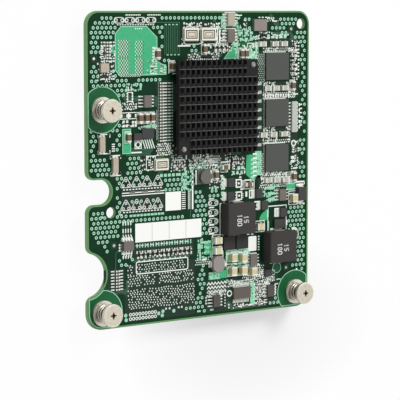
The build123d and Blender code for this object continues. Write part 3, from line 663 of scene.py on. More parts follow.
# Routing: a path, how many lines run side by side, and their spacing
routes = [
    ([(-16.9, 41.2), (-16.9, 52.2)], 9, -0.82), ([(-20.5, 53), (-10.4, 53), (-10.4, 45)], 1, 0.5),
    ([(-35.5, -19), (-35.5, -23.6), (-36.9, -26.0)], 4, 1.12),
    ([(-37.0, -28.2), (-38.7, -30), (-38.7, -43)], 1, 0.5),
    ([(3.0, -43.8), (5.4, -47.0), (5.4, -48.8)], 7, 1.1), ([(-5.5, -10.5), (-5.5, -19)], 1, 0.5),
    ([(-4.4, -2), (-4.4, -16)], 1, 0.5), ([(23.3, 54), (30, 54)], 1, 0.5),
    ([(23.4, 54), (23.4, 50)], 1, 0.5),
    ([(-13.8, 30.5), (-13.8, 22), (-16.2, 19.6), (-16.2, 8), (-20, 4.2), (-20, -2)], 5, 0.45),
    ([(-36.2, 27), (-33, 23.8), (-22, 23.8), (-20.6, 22.4)], 6, 0.5),
    ([(-37.0, 20), (-35.4, 18.4), (-35.4, 15.4), (-30, 15.4)], 4, 0.5),
    ([(-34, 5.2), (-24, 5.2), (-22.5, 6.7), (-22.5, 14)], 6, 0.5),
    ([(-27.3, 4), (-23.3, 0), (-12, 0)], 8, 0.5), ([(-34.5, -45), (-33.2, -43.7), (-33.2, -40)], 3, 0.5),
    ([(-40.4, -43.4), (-35.2, -43.4), (-33.8, -44.8)], 3, -0.5), ([(8, 42), (6, 39.9), (-4, 39.9)], 4, 0.5),
    ([(31, 55), (34.5, 51.5), (34.5, 49.5)], 4, 0.5),
    ([(26, 50), (29, 47), (41, 47), (43, 45), (43, 32)], 5, 0.5), ([(44.2, 24), (44.2, 31)], 4, 0.5),
    ([(12, -52), (14, -54), (30, -54)], 4, -0.45), ([(24.5, -46), (27, -48.5), (27, -52)], 4, 0.5),
    ([(-3.0, 41), (3, 41), (5, 39.3)], 3, 0.5), ([(-31, -33), (-6, -33)], 3, -0.4),
    ([(10.9, 44), (14, 47), (14, 55)], 3, -0.5), ([(12, -3), (12, 3), (18, 3)], 3, 0.5),
    ([(31.5, -44), (29, -46.5)], 6, 0.5), ([(-46, -22.8), (-46, -16)], 2, 0.5),
    ([(1.5, 47), (5, 50.5), (5, 55)], 3, -0.5),
]
piece("routing", [bundle(path, count, spacing, 0.2) for path, count, spacing in routes], "trace")

# Short bars that join the first nine lines in pairs, at their heads and at their feet
line_pitch = 0.82
serpentine = [strokes([[(x, y), (x + line_pitch, y)] for x in start + 2 * line_pitch * np.arange(4)],
                      0.4, base=TOP + 0.02, height=0.02) for start, y in ((-16.9, 52.2), (-16.08, 41.2))]
piece("serpentine_ends", serpentine, "mint")

via_boxes = [
    (-33.2, -3.4, -50.8, -43.3), (-33.2, -20.8, -42.3, -38.4), (-19.4, -3.4, -42.3, -38.4),
    (-29.2, -7.2, -37.4, -34.2), (-33.4, -30.8, -38.2, -34.6),
]
small_via_boxes = [
    (42.5, 44.8, 24.2, 26.4), (29.5, 45.0, 24.4, 26.2), (29.5, 42.0, 7.2, 8.6), (29.5, 45.0, 42.2, 43.6),
    (28.0, 44.0, -6.2, -4.4), (27.0, 40.0, -9.8, -8.6), (12.0, 22.0, -34.4, -32.6),
    (12.0, 24.0, -46.4, -44.6), (2.6, 11.0, -49.2, -47.4), (24.4, 28.0, -52.6, -46.4),
    (-20.6, -14.0, 4.8, 8.8), (-34.4, -29.8, 22.0, 24.2), (-27.8, -20.6, 14.6, 16.2),
    (-3.0, 3.5, -37.0, -34.6), (19.0, 29.5, -43.8, -39.6), (28.5, 34.0, -46.2, -41.8), (2.0, 9.0, 0.0, 3.6),
    (27.6, 29.6, -5.0, 3.6),
]
pale_via_boxes = [(20.0, 33.0, 37.4, 41.4), (26.4, 29.2, 30.4, 41.0)]
vias = lattice(via_boxes, 1.2, 0.84)
vias = vias[np.arange(len(vias)) * 7 % 23 > 2]
vias += 0.16 * np.sin(np.arange(len(vias))[:, None] * [5.3, 7.1])
small_vias = lattice(small_via_boxes, 0.95, 0.8)
via_necks = np.stack([vias, vias + [0.36, -0.34]], axis=1)
piece("vias", [plates(vias, disc(0.26, 8))], "land")
piece("via_necks", [strokes(via_necks, 0.14, height=0.02)], "trace")
piece("small_vias", [plates(small_vias, disc(0.28, 6))], "land")
pale_vias = lattice(pale_via_boxes, 0.95, 0.8)
pale_runs = [(27.0, 29.8, 0, -3.32, 8, 1.5, 1.2), (28.9, 41.0, 0, -0.95, 48, 0.4, 0.5)]
piece("pale_lands", [plates(pale_vias, disc(0.26, 6)), bars(runs(pale_runs), height=INK)], "dull_land")

fanout_boxes = [(-37.0, -32.2, 41.0, 46.8), (-37.0, -32.2, 34.4, 40.0)]
hole_boxes = [(-29.8, -26.6, 41.2, 46.8), (-29.8, -26.6, 34.4, 40.4)]
fanout_top = TOP + COPPER + FILM
dots = lattice(fanout_boxes + hole_boxes, 1.1, 0.7)
piece("fanout_copper", [bars(fanout_boxes + hole_boxes, TOP + COPPER, FILM)], "fanout")
piece("fanout_dots", [plates(dots, disc(0.24, 6), fanout_top, FILM)], "land")
piece("fanout_holes", [plates(dots + [0.5, 0.0], disc(0.27, 6), fanout_top, FILM)], "pad_eye")


# Landing pads under every terminal, from the boxes of the CAD solids

pad_margins = {
    "outline_leads": (0.3, 0.02), "wide_leads": (0.08, 0.5), "filter_terminals": (0.3, 0.4),
    "diode_leads": (0.3, 0.5), "array_terminals": (0.5, 0.15), "transistor_tabs": (0.4, 0.3),
    "inductor_straps": (0.5, 0.6), "choke_clips": (0.4, 0.3), "large_chip_ends": (0.2, 0.2),
    "brown_chip_ends": (0.15, 0.15), "grey_chip_ends": (0.1, 0.1),
}
tiny = solids("tiny_chips")
tiny_top = extent("tiny_chips")[1, 2]
terminals = [grown(solids(node), x, y) for node, (x, y) in pad_margins.items()]
terminals.append(ends(tiny, 0.3, 0.45, -0.1))
piece("landing_pads", [bars(np.concatenate(terminals), height=0.04)], "land")
piece("chip_end_caps", [bars(ends(tiny, 0.45, 0.02, -0.1), tiny_top, 0.03)], "tin")
piece("chip_coats", [bars(grown(tiny, -0.4, -0.12), tiny_top, 0.02)], "glass_coat")

# Runs of rectangles: where they start along X and Y, their step along each, their count, and how wide and
# long each rectangle is. Single ones: their centres along X and Y, and how wide and long each is.
pad_runs = [
    (-17.9, 30.98, 0, -1.104, 20, 4.0, 0.4), (-14.9, 30.98, 0, -1.104, 20, 1.0, 0.36),
    (-13.7, 30.98, 0, -1.104, 20, 0.5, 0.4), (-21.9, 43.8, 0, -1.1, 5, 1.0, 0.7),
    (-20.6, 43.8, 0, -1.1, 5, 0.9, 0.6), (-22.6, 38.9, 0, -0.86, 6, 1.7, 0.4),
    (-20.9, 38.9, 0, -0.86, 6, 1.2, 0.4), (-36.0, 34.0, 1.0, 0, 9, 0.55, 0.7),
    (-18.6, 37.2, 0, -0.95, 3, 1.2, 0.5), (-17.0, 36.8, 0, -0.95, 3, 0.9, 0.5),
    (-29.8, 50.8, 0.9, 0, 4, 0.5, 0.4), (-44.3, (46.0, 44.9, 40.3, 39.3, 33.0), 1.05, 0, 6, 0.6, 0.5),
    ((-44.2, -42.4), 44.0, 0, -0.75, 5, 0.9, 0.35), (-42.7, 32.1, 0.85, 0, 3, 0.4, 0.4),
    (9.8, (49.8, 55.7), 0, -1.1, 4, 1.0, 0.6), (11.2, (49.8, 55.7), 0, -1.1, 4, 0.8, 0.6),
    (15.7, (49.8, 55.7), 0, -1.1, 4, 1.0, 0.6), (6.5, (44.8, 42.6), 0.85, 0, 7, 0.45, 1.1),
    (-4.0, 39.3, 1.0, 0, 11, 0.6, 0.5), (8.0, 47.5, 0, -1.0, 2, 0.8, 0.7),
    ((0.4, 3.0), 44.6, 0, -2.8, 2, 0.8, 1.0), (30.6, 54.3, 0.95, 0, 4, 0.5, 0.8),
    (42.6, (42.2, 40.0, 36.5, 35.0, 33.0), 2.0, 0, 2, 1.1, 0.9), (45.7, 45.0, 0, -1.3, 11, 0.7, 0.6),
    (46.9, 21.3, 0, -1.6, 6, 1.4, 0.5), (41.5, 22.0, 0, -1.27, 9, 0.9, 0.6),
    (-33.0, 29.3, 1.3, 0, 2, 0.5, 1.6), ((-33.4, -31.2), 27.6, 0, -1.0, 4, 0.7, 0.5),
    (-35.0, 17.5, 1.5, 0, 2, 0.9, 0.9), (-31.0, (17.2, 16.0), 1.2, 0, 2, 0.9, 0.9),
    (-35.0, 16.0, 1.3, 0, 2, 0.9, 0.9), ((-35.9, -32.2), 19.6, 2.4, 0, 2, 0.7, 1.2),
    (-39.5, 9.6, 0, -0.8, 4, 1.3, 0.45), (-35.5, -19.2, 1.12, 0, 4, 0.5, 1.6),
    (-35.5, -22.0, 1.12, 0, 4, 0.5, 1.5), (-35.5, -29.6, 1.12, 0, 4, 0.5, 1.1),
    (-35.5, -31.5, 1.12, 0, 4, 0.5, 0.8), ((-37.0, -35.9), -27.0, 0, -1.0, 3, 0.7, 0.7),
    (-38.2, -36.4, 0, -1.12, 7, 5.2, 0.45), (-16.6, -52.2, 1.6, 0, 2, 0.7, 0.7),
    (-10.9, -52.2, 1.4, 0, 2, 0.7, 0.7), (26.6, -28.5, 0, -1.0, 6, 0.7, 0.5),
    (34.9, -47.6, 0, -1.12, 4, 0.7, 0.6), (8.8, -49.8, 0, -1.1, 4, 0.8, 0.5),
    (1.7, -49.8, 0, -1.1, 3, 0.6, 0.6), (10.6, -49.4, 0, -1.1, 5, 0.5, 0.5),
    (12.4, -53.5, 0, -1.1, 2, 0.6, 0.6), (31.9, -44.3, 1.1, 0, 2, 0.7, 0.7),
    (20.6, -44.8, 1.1, 0, 3, 0.7, 0.6), (15.0, -45.4, 0.8, 0, 6, 0.35, 1.2),
    (27.4, -46.9, 0, -1.5, 5, 1.2, 0.4), (9.0, -4.3, 0, -3.4, 2, 1.2, 0.5),
    (11.2, (-5.7, -11.0), 0, -1.2, 3, 0.9, 0.6), (15.8, (-6.2, -10.9), 0, -1.1, 3, 0.9, 0.4),
    (28.2, -6.5, 1.0, -1.2, 2, 1.1, 0.8), (30.2, -5.0, 3.2, 0, 4, 0.8, 1.0),
    (43.0, 1.0, 0, -1.5, 2, 1.6, 1.0), (36.0, -11.0, 0, -1.1, 4, 1.8, 0.5),
    (21.5, -27.2, 2.0, 0, 2, 1.2, 0.6), (-29.4, -30.3, 1.2, 0, 21, 0.5, 1.0),
    (-29.0, -32.3, 1.7, 0, 15, 0.8, 0.7), (-28.6, -33.4, 2.3, 0, 10, 0.4, 0.5),
]
single_pads = [
    (6.5, 47.1, 0.8, 0.8), (44.3, 25.4, 2.4, 0.5), (35.8, -47.5, 0.7, 0.5), (31.0, -47.1, 2.4, 0.7),
    (5.0, -34.8, 1.8, 0.8), (5.4, -37.2, 0.8, 2.2), (10.8, -37.6, 1.0, 2.1), (28.3, -42.3, 0.6, 2.0),
    (26.0, -39.4, 2.4, 0.5), (0.9, -35.3, 1.8, 0.8), (44.2, -3.2, 2.0, 0.6), (28.3, -24.9, 0.6, 1.8),
    (40.3, -24.1, 0.6, 2.0), (35.0, -17.3, 7.0, 0.3), (34.0, -27.7, 1.9, 0.5),
]
piece("bare_pads", [bars(np.concatenate([runs(pad_runs), about(single_pads)]), height=0.04)], "land")

clutter_boxes = [
    (-8.6, 8.0, 50.9, 53.0), (-9.4, -7.9, 44.8, 50.6), (-7.0, 7.4, 38.9, 41.4), (3.6, 13.6, 41.2, 45.2),
    (30.4, 35.6, 53.0, 54.6), (19.0, 21.2, 50.2, 54.6), (26.4, 33.0, 46.6, 49.0), (31.0, 41.6, 46.6, 48.4),
    (28.4, 42.4, 41.5, 43.6), (28.4, 42.6, 23.9, 30.2), (28.4, 42.6, 6.8, 13.4), (27.4, 43.0, -9.4, -4.2),
    (-14.4, 13.4, -1.6, 4.4), (13.6, 20.0, -4.4, 3.2), (3.2, 9.4, -8.8, -4.8), (-35.8, -29.0, 15.6, 17.8),
    (-28.4, -20.8, -0.8, 4.8), (-20.4, -13.4, 4.6, 8.8), (-35.8, -29.0, 21.6, 24.6),
    (2.0, 11.2, -49.4, -47.4), (12.0, 28.0, -46.8, -43.6), (24.6, 34.4, -47.2, -41.4),
    (14.4, 29.6, -55.2, -53.4), (24.6, 30.2, -54.0, -46.4), (42.4, 45.2, 30.4, 46.0),
    (42.4, 46.0, -3.6, 7.6), (-46.2, -38.8, 32.4, 39.6), (8.6, 10.4, -15.0, -4.2), (6.2, 9.6, 45.4, 50.6),
    (-45.0, -39.0, 40.6, 44.8), (16.2, 23.0, 45.6, 49.9), (23.2, 27.2, 43.4, 48.2),
]
pale_boxes = [
    (15.7, 26.2, 38.8, 45.3), (13.8, 15.7, 43.7, 45.3), (24.8, 27.8, -5.0, 4.2), (3.0, 8.4, -43.2, -40.4),
    (11.0, 22.4, -39.8, -32.6), (22.6, 24.8, -54.2, -46.0), (8.6, 10.8, 50.6, 55.2),
    (-24.9, -20.6, 34.5, 39.3), (-19.4, -16.4, 34.6, 37.8),
]
open_boxes = [
    (-9.6, -3.8, -9.0, -1.6), (-2.4, 4.6, -35.0, -27.2), (28.0, 36.4, -15.6, -9.4),
    (-28.6, -20.6, 14.8, 17.0), (-34.0, -27.0, 28.4, 31.0), (-5.6, 8.6, -1.4, 2.6),
    (15.0, 17.6, 50.2, 54.8), (16.2, 23.0, 45.6, 49.9),
]
larger_boxes = [(14.8, 26.0, 39.0, 45.1), (-8.6, 8.0, 50.9, 53.0)]
gap_runs = [(-17.7, 30.43, 0, -1.104, 20, 4.6, 0.44), (-14.6, 30.43, 0, -1.104, 20, 1.2, 0.44)]
gap_runs += [(x, y, step, 0, 2, 1.0, 0.9) for x, y, step in
             ((-45.6, 13.1, 4.0), (-45.6, 6.8, 4.0), (-40.4, 5.2, 4.2), (-40.4, -1.0, 4.2))]
piece("dense_areas", [bars(clutter_boxes, height=0.02)], "grey_plane")
piece("small_lands", [bars(clutter(clutter_boxes, 0.92, 0.2, 0.7), height=0.045),
                      bars(clutter(larger_boxes, 1.1, 0.3, 0.7), height=0.05)], "land")
piece("mint_areas", [bars(pale_boxes, height=0.025)], "pale_pour")
piece("mint_lands", [bars(clutter(pale_boxes, 1.0, 0.25, 0.8), height=0.04),
                     bars(clutter(open_boxes, 0.95, 0.35, 0.95), height=0.05)], "mint")
piece("dark_gaps", [bars(clutter(pale_boxes, 1.5, 0.2, 0.6), height=0.045),
                    bars(runs(gap_runs), height=0.06)], "grey_plane")

mint_runs = [
    (-18.6, -2.75, 1.8, 0, 4, 1.3, 1.1), (-8.0, -5.0, 0, -1.4, 3, 1.8, 1.0),
    (-32.0, -16.7, 1.55, 0, 10, 1.25, 0.8), (9.4, -5.2, 0, -1.9, 4, 1.5, 1.2),
    (14.5, -3.5, 1.9, 0, 3, 1.0, 1.3), (17.0, -1.7, 1.8, 0, 2, 1.4, 1.2),
    (23.6, 1.0, 0, -1.65, 5, 1.8, 0.9), (31.0, 47.5, 2.0, 0, 5, 1.3, 1.5),
    (18.0, (48.9, 46.6), 2.4, 0, 3, 1.5, 1.0), (15.6, -38.2, 2.2, 0, 3, 1.4, 0.7),
    (12.6, -34.0, 1.6, 0, 5, 1.0, 0.6), (4.0, -40.9, 0, -1.6, 2, 1.8, 0.9),
    (42.6, -9.0, 0, -2.3, 2, 3.4, 0.5), (-29.4, -27.9, 1.2, 0, 21, 0.5, 1.5),
    (-1.6, -54.6, 6.0, 0, 2, 1.6, 0.7), (32.6, -10.2, 0, -2.2, 3, 3.2, 1.1),
    (-24.4, 15.4, 2.6, 0, 3, 1.6, 1.3), (4.6, -8.8, 1.6, 0, 2, 1.0, 0.8),
]
single_mints = [
    (-10.9, -2.75, 2.2, 1.0), (-8.0, -2.75, 2.0, 1.0), (10.4, -12.0, 2.6, 2.0), (-1.0, -30.5, 2.4, 1.2),
    (0.5, -28.8, 3.0, 0.8), (-1.0, -34.0, 0.8, 3.0), (6.8, -41.4, 1.6, 1.6), (31.3, -24.7, 0.6, 3.8),
    (31.0, -19.5, 0.7, 3.8), (36.4, -45.8, 2.2, 0.5), (-44.6, -16.4, 1.2, 0.8), (7.0, 51.0, 1.4, 1.0),
]
foot_pads = [(-34.5, -53.0), (-34.3, -54.7), (-19.9, -53.6), (-18.3, -54.5), (-18.0, -53.0), (-13.1, -53.3)]
piece("mint_copper", [bars(np.concatenate([runs(mint_runs), about(single_mints)]), height=0.035),
                      plates(foot_pads, disc(0.72), height=0.035)], "mint")


# Painted highlight: light strips along the upper end of every row of fins stand in for the lit end faces of
# the rows

sink_left, sink_right, sink_foot, sink_head = solids("heat_sink")[0]
sink_plate_t, sink_rim = 1.8, 0.2
fin_rows, fin_l = 11, 1.7
bare_rows, bare_corner = 2, 5.0
sink_plate_top = extent("thermal_pad")[1, 2] + sink_plate_t
row = np.arange(fin_rows)
row_pitch = (sink_head - sink_foot - 2 * sink_rim - fin_l) / (fin_rows - 1)
row_tops = sink_foot + sink_rim + fin_l + row_pitch * row
row_lefts = sink_left + np.where(row < bare_rows, bare_corner, sink_rim)
row_rights = sink_right - np.where(row < fin_rows - bare_rows, sink_rim, bare_corner)
painted_highlight_strips = np.stack([row_lefts, row_rights, row_tops + 0.05, row_tops + 0.3], axis=1)[:-1]
piece("painted_highlight_strips", [bars(painted_highlight_strips, sink_plate_top, 0.1)], "painted_fin_highlight")


# Silkscreen, labels and rings

ovals = [(x, 53.8) for x in (-36.8, -32.2, -27.6, -23.0)]
side_ovals = [(5.0, y) for y in (-14.3, -17.9, -21.2, -24.5)]
apexes = (-34.2, -29.5, -24.9, -20.2)
triangle_tops = (-2.5, -10.8)


def triangle(x, y):
    """Triangle with rounded corners that stands below its apex."""
    return np.concatenate([arc(x, y - 0.5, 0.5, 30, 150, 5), arc(x - 1.7, y - 3.3, 0.5, 150, 270, 5),
                           arc(x + 1.7, y - 3.3, 0.5, 270, 390, 5)])


ink_runs = [
    (-26.6, -8.3, 0, -0.9, 2, 18.6, 0.35), (-31.5, -8.3, 5.6, 0, 3, 2.6, 0.55),
    (-35.0, (-7.1, -15.3), 1.35, 0, 13, 0.8, 0.4), (-33.8, 55.7, 0.75, 0, 9, 0.5, 0.45),
    (-24.3, 55.7, 0.75, 0, 8, 0.5, 0.45), (-37.4, 52.2, 1.1, 0, 15, 0.7, 0.3),
    (26.6, 54.7, 1.6, 0, 3, 0.9, 0.4), (-43.5, 13.3, 0, -6.9, 2, 5.0, 0.4),
    (-38.6, 5.5, 0, -7.2, 2, 4.4, 0.4), ((-46.0, -41.0), 12.7, 0, -5.7, 2, 0.35, 1.2),
    ((-40.8, -36.4), 4.9, 0, -6.0, 2, 0.35, 1.2), (4.2, -12.7, 0, -3.3, 5, 2.4, 0.4),
    (-20.5, 21.0, 0, -0.55, 20, 0.25, 0.3), (6.7, -0.4, 2.6, 0, 3, 2.0, 0.4),
    (26.6, -11.0, 0, -1.2, 3, 1.0, 0.35), (-8.0, -9.5, 0, -0.75, 9, 2.8, 0.3),
    (-27.2, 16.9, 2.4, 0, 3, 1.6, 0.5), (47.0, -17.2, 1.6, 0, 2, 1.0, 0.6),
    (18.0, -54.6, 3.2, 0, 4, 2.2, 0.5), (-31.6, -27.8, 2.2, 0, 12, 1.2, 0.3),
    (0.2, 47.6, 6.4, 0, 2, 0.3, 3.0), (-8.3, 47.6, 8.1, 0, 3, 0.5, 5.0), (-4.3, 50.3, 7.6, 0, 2, 6.0, 0.5),
    (-4.6, 45.1, 7.8, 0, 2, 6.4, 0.5), (-6.6, -9.5, 0, -0.75, 9, 2.2, 0.3),
    (46.2, 21.2, 0, -2.15, 5, 0.6, 1.1), (-2.9, 3.0, 0, -1.3, 3, 3.6, 0.35),
    (24.6, 3.2, 0, -1.65, 6, 1.8, 0.6), (29.6, 25.0, 1.25, 0, 10, 0.55, 1.4),
    (6.2, 2.2, 0, -1.1, 3, 5.0, 0.35), (-1.0, 1.6, 2.2, 0, 3, 1.3, 1.0), (-7.4, 3.4, 3.3, 0, 4, 0.5, 1.6),
    (19.0, -54.4, 2.0, 0, 5, 1.4, 0.7), (30.0, -46.6, 0, -1.1, 8, 1.6, 0.35),
]
ink_bars = [
    (-8.3, 44.4, 5.7, 0.5), (-29.5, 6.2, 4.5, 0.5), (46.5, -8.6, 5.0, 0.6), (46.8, -9.7, 4.0, 0.3),
    (48.9, -9.1, 0.4, 1.2), (20.6, -11.9, 0.9, 2.0), (8.2, -20.8, 0.4, 12.4), (16.6, 55.5, 3.4, 0.4),
    (33.9, 53.3, 2.2, 0.4), (34.2, (41.6, 23.9, 6.9), 10.5, 0.35), (29.1, (36.0, 18.4, 1.3), 0.35, 10.5),
    (-36.6, -16.0, 1.6, 0.3), (18.4, -9.9, 1.2, 0.6), (17.7, -5.3, 1.0, 0.5),
    ((-27.2, -22.6), 20.6, 2.0, 0.5), (24.0, -34.8, 3.2, 0.5), (-12.0, 34.3, 3.2, 0.3),
    (-15.2, 36.6, 0.3, 4.4), (4.0, 26.4, 0.4, 0.4), (8.4, 0.9, 9.4, 0.35), (-3.0, -0.6, 6.0, 0.4),
    (-4.5, -9.2, 0.7, 13.6), (-6.4, -12.4, 0.3, 7.0), (-2.9, -4.2, 0.6, 5.4), (4.0, -4.0, 0.6, 4.4),
    (-10.2, 2.6, 3.4, 0.5), (45.3, -42.6, 0.7, 0.7),
]
boxes_in_ink = [
    (24.5, 29.3, -26.7, -22.6), (41.2, 45.7, -17.2, -12.0), (19.0, 24.3, -9.8, -6.7),
    (-25.2, -21.2, -0.4, 4.6), (-8.5, -0.6, 45.2, 50.7), (0.2, 6.9, 45.2, 50.7), (4.6, 9.6, -30.9, -26.4),
    (4.6, 9.6, -35.0, -31.2), (-36.4, -33.0, 18.5, 20.7), (-32.7, -29.3, 18.5, 20.7),
    (-33.2, -31.2, 24.8, 28.0), (21.0, 25.0, 39.0, 45.0), (31.0, 40.0, -26.8, -17.2),
    (-30.2, -27.4, 7.6, 10.4), (11.4, 16.6, -38.0, -34.0), (16.6, 21.2, -38.0, -34.0),
    (11.8, 16.6, -42.7, -39.4), (16.6, 21.2, -42.7, -39.4), (21.2, 27.2, -43.2, -39.4),
    (10.4, 14.9, 45.6, 50.6), (10.4, 14.9, 51.6, 56.6),
]
ink = [bars(np.concatenate([runs(ink_runs), about(ink_bars)]), height=INK), frames(boxes_in_ink, 0.28),
       frames(grown(solids("brown_chip_bodies"), 0.42, 0.95), 0.22),
       rings(ovals, rounded(4.3, 2.0, 0.95), 0.22, height=INK),
       rings(side_ovals, rounded(4.5, 2.1, 1.0), 0.22, height=INK),
       rings([(-18.25, -36.0)], rounded(23.1, 4.4, 0.7), 0.38, height=INK)]
ink += [strokes([triangle(x, y) for x in apexes], 0.22, True, height=INK) for y in triangle_tops]
piece("silkscreen", ink, "ink")

lids = solids("oscillator_lids")
lid_top = extent("oscillator_lids")[1, 2]
piece("lid_lines", [frames(grown(lids, -0.78, -0.78), 0.4, lid_top, 0.02),
                    frames(grown(lids, -1.6, -1.5), 0.2, lid_top, 0.02)], "lid_line")
piece("lid_rims", [frames(grown(lids, -0.28, -0.28), 0.52, lid_top, 0.02)], "land")
zigzag = np.array([(2.2 + 0.75 * i, 0.9 * (i % 2)) for i in range(13)])
slants = [((-21.6, 7.4), -1.0, 5, (-1.3, 3.4), 0.42), ((-31.2, -25.9), -1.1, 4, (-1.0, 2.5), 0.45),
          ((-31.6, -29.8), -1.1, 4, (-0.6, -2.4), 0.45)]
lead_traces = [strokes([zigzag + [0, y] for y in (-45.2, -46.7, -48.2)], 0.4)]
for start, pitch, count, lean, width in slants:
    heads = np.array(start) + np.outer(np.arange(count), [pitch, 0])
    lead_traces.append(strokes(np.stack([heads, heads + lean], axis=1), width))
piece("lead_traces", lead_traces, "land")

marks = [(17.0, -7.6), (17.2, -12.3), (23.3, -12.0), (25.8, -16.5), (35.6, -19.8)]
ticks = runs([(x + 1.6, y - 0.7, 0, 0.7, 3, 0.8, 0.3) for x, y in marks])
piece("pin_marks", [frames(about([(x, y, 2.3, 2.8) for x, y in marks]), 0.5),
                    plates(marks, disc(0.45), height=INK), bars(ticks, TOP + INK, FILM)],
      "ink")

label_t = 0.08
piece("blank_labels", [bars([(-30.2, -0.5, -26.6, -19.7), (-16.8, -9.8, -15.9, -9.0)], height=label_t),
                       plates([(23.55, -31.0)], rounded(3.9, 5.7, 0.5), height=label_t)],
      "paper")
dividers = about([(x, -23.15, 0.16, 6.5) for x in (-22.8, -15.2, -7.6)])
piece("label_dividers", [bars(dividers, TOP + label_t, FILM)], "grey_ink")

# Rings: one at each end of an oval, three in a triangle, two rows at the foot and some by themselves
pairs = [(x + s, y) for x, y in ovals + side_ovals for s in (-1.3, 1.3)]
triangle_rings = [(x + dx, y - dy) for y in triangle_tops for x in apexes
                  for dx, dy in ((0, 1.2), (-1.15, 3.1), (1.15, 3.1))]
row_rings = grid(np.linspace(-32.4, -21.4, 9), (-52.9, -54.5))
single_rings = [(12.7, -49.2), (43.5, 6.5), (-28.8, 9.0), (-4.6, 28.0), (10.9, -1.2)]
right_hole = (43.59, -28.9)
piece("test_rings", [rings(pairs, disc(0.56, 12), 0.28), rings(triangle_rings, disc(0.44, 10), 0.26),
                     rings(single_rings, disc(1.0, 14), 0.5), rings(row_rings, disc(0.5, 10), 0.32),
                     strokes([arc(*right_hole, 2.4, 45, 110)], 0.9)], "land")

fiducials = [(-47.6, 40.3), (42.0, 50.3), (-39.4, -27.0), (40.0, -41.5)]
piece("fiducial_fields", [plates(fiducials, rounded(2.6, 2.6, 0.3))], "grey_plane")
piece("bright_fiducial", [plates(fiducials[:1], disc(0.5, 12), TOP + COPPER, FILM)], "land")
piece("dull_fiducials", [plates(fiducials[1:], disc(0.6, 12), TOP + COPPER, FILM),
                         strokes([arc(*right_hole, 2.5, -80, 45)], 0.6)], "dull_land")

# Digits on the inductors, each as strokes in a box one wide and two tall
digit_strokes = {
    "0": [rounded(1.0, 2.0, 0.45)],
    "8": [rounded(0.9, 0.95, 0.4) + [0, 0.5], rounded(1.0, 1.05, 0.45) - [0, 0.5]],
    "1": [np.array([(-0.25, 0.75), (0.05, 1.0), (0.05, -1.0), (-0.05, -1.0), (-0.05, 0.8)])],
    "5": [np.array([(0.45, 1.0), (-0.4, 1.0), (-0.4, 0.2), (0.1, 0.25), (0.45, -0.1), (0.4, -0.7), (0, -1.0),
                    (-0.45, -0.85), (0, -0.9), (0.3, -0.6), (0.3, -0.1), (0, 0.1), (-0.5, 0.05), (-0.5, 1.1),
                    (0.45, 1.1)])],
}


def digits(text, x, y, z, pitch=1.55):
    """Digits turned a quarter, one below the other from (x, y), at height z."""
    turn = np.array([[0, -1], [1, 0]])
    return [strokes([shape @ turn + [x, y - i * pitch]], 0.26, True, z, 0.02)
            for i, letter in enumerate(text) for shape in digit_strokes[letter]]


inductor_top = extent("inductor_cores")[1, 2]
inductor_marks = (("180", 13.7, -19.4), ("15", 16.7, -20.0), ("180", 33.0, -31.7), ("15", 36.1, -32.2))
piece("inductor_digits", [line for text, x, y in inductor_marks for line in digits(text, x, y, inductor_top)],
      "ink")


# Underside: the same stitching, lands under the chips, routing and lines round the connector and the bushes

shell = solids("connector_housing")
rear_chips = solids("rear_chips")
left, right, foot, head = grown(shell, 1.4, 1.4)[0]
beside = (stitches < [left, foot]) | (stitches > [right, head])
rear_stitches = stitches[beside.any(axis=1)]
rear_vias = lattice([(-9.0, 22.0, 6.8, 36.8), (-36.0, -14.0, 38.0, 50.0), (28.0, 44.0, -4.0, 40.0)], 1.5, 1.3)
rear_routes = [
    ([(-30, -31.4), (-30, -12), (-13, 5), (-13, 20)], 12, -0.9),
    ([(-6, -31.4), (-6, -20), (4, -10), (4, 2)], 8, 0.8), ([(-34, 8), (-34, 30), (-28, 36)], 8, -0.7),
    ([(25, 5), (25, -14), (38, -27), (38, -40)], 7, 0.8),
    ([(-10, 40), (-10, 52), (20, 52), (26, 46)], 6, 0.8),
]
piece("rear_stitching", [plates(rear_stitches, stitch_pad, REAR - COPPER)], "pad")
piece("rear_stitching_holes", [plates(rear_stitches, stitch_hole, REAR - COPPER - FILM, FILM)], "pad_eye")
rear_lines = [bundle(path, count, spacing, 0.25, REAR - 0.02) for path, count, spacing in rear_routes]
piece("rear_routing", rear_lines, "trace")
piece("rear_vias", [plates(rear_vias, disc(0.26, 6), REAR - COPPER)], "land")
piece("rear_lands", [bars(ends(rear_chips, 0.3, 0.4, 0.05), REAR - 0.04, 0.04)], "land")
piece("rear_silkscreen", [frames(grown(shell, 0.9, 0.9), 0.3, REAR - INK),
                          frames(grown(rear_chips, 0.8, 0.4), 0.2, REAR - INK),
                          rings(list(STATIONS.values()), disc(5.6, 48), 0.3, REAR - INK, INK)],
      "ink")


# Camera, floor and light

def placed(across, up, away, place):
    """Matrix whose columns are three axes and a place."""
    matrix = np.eye(4)
    matrix[:3] = np.stack([across, up, away, place], axis=1)
    return Matrix(matrix.tolist())


def camera():
    """Camera of the photograph: its place, two angles and focal length were fitted to the card's corners."""
    place = [-396.512, 57.375, 542.4435 + TOP]
    bearing, drop = 0.629909, 0.104178
    focal_pixels, picture_pixels = 1815.22, 400
    away = np.array([-np.sin(bearing) * np.cos(drop), np.sin(drop), np.cos(bearing) * np.cos(drop)])
    across = np.cross([0, 1, 0], away)
    across /= np.linalg.norm(across)
    up = np.cross(away, across)
    lens = bpy.data.cameras.new("camera")
    lens.sensor_width = 36.0
    lens.lens = focal_pixels * lens.sensor_width / picture_pixels
    lens.clip_start = 0.01
    lens.clip_end = 20.0
    made = bpy.data.objects.new("camera", lens)
    made.matrix_world = placed(across, up, away, np.array(place) * MM)
    bpy.context.collection.objects.link(made)
    bpy.context.scene.camera = made


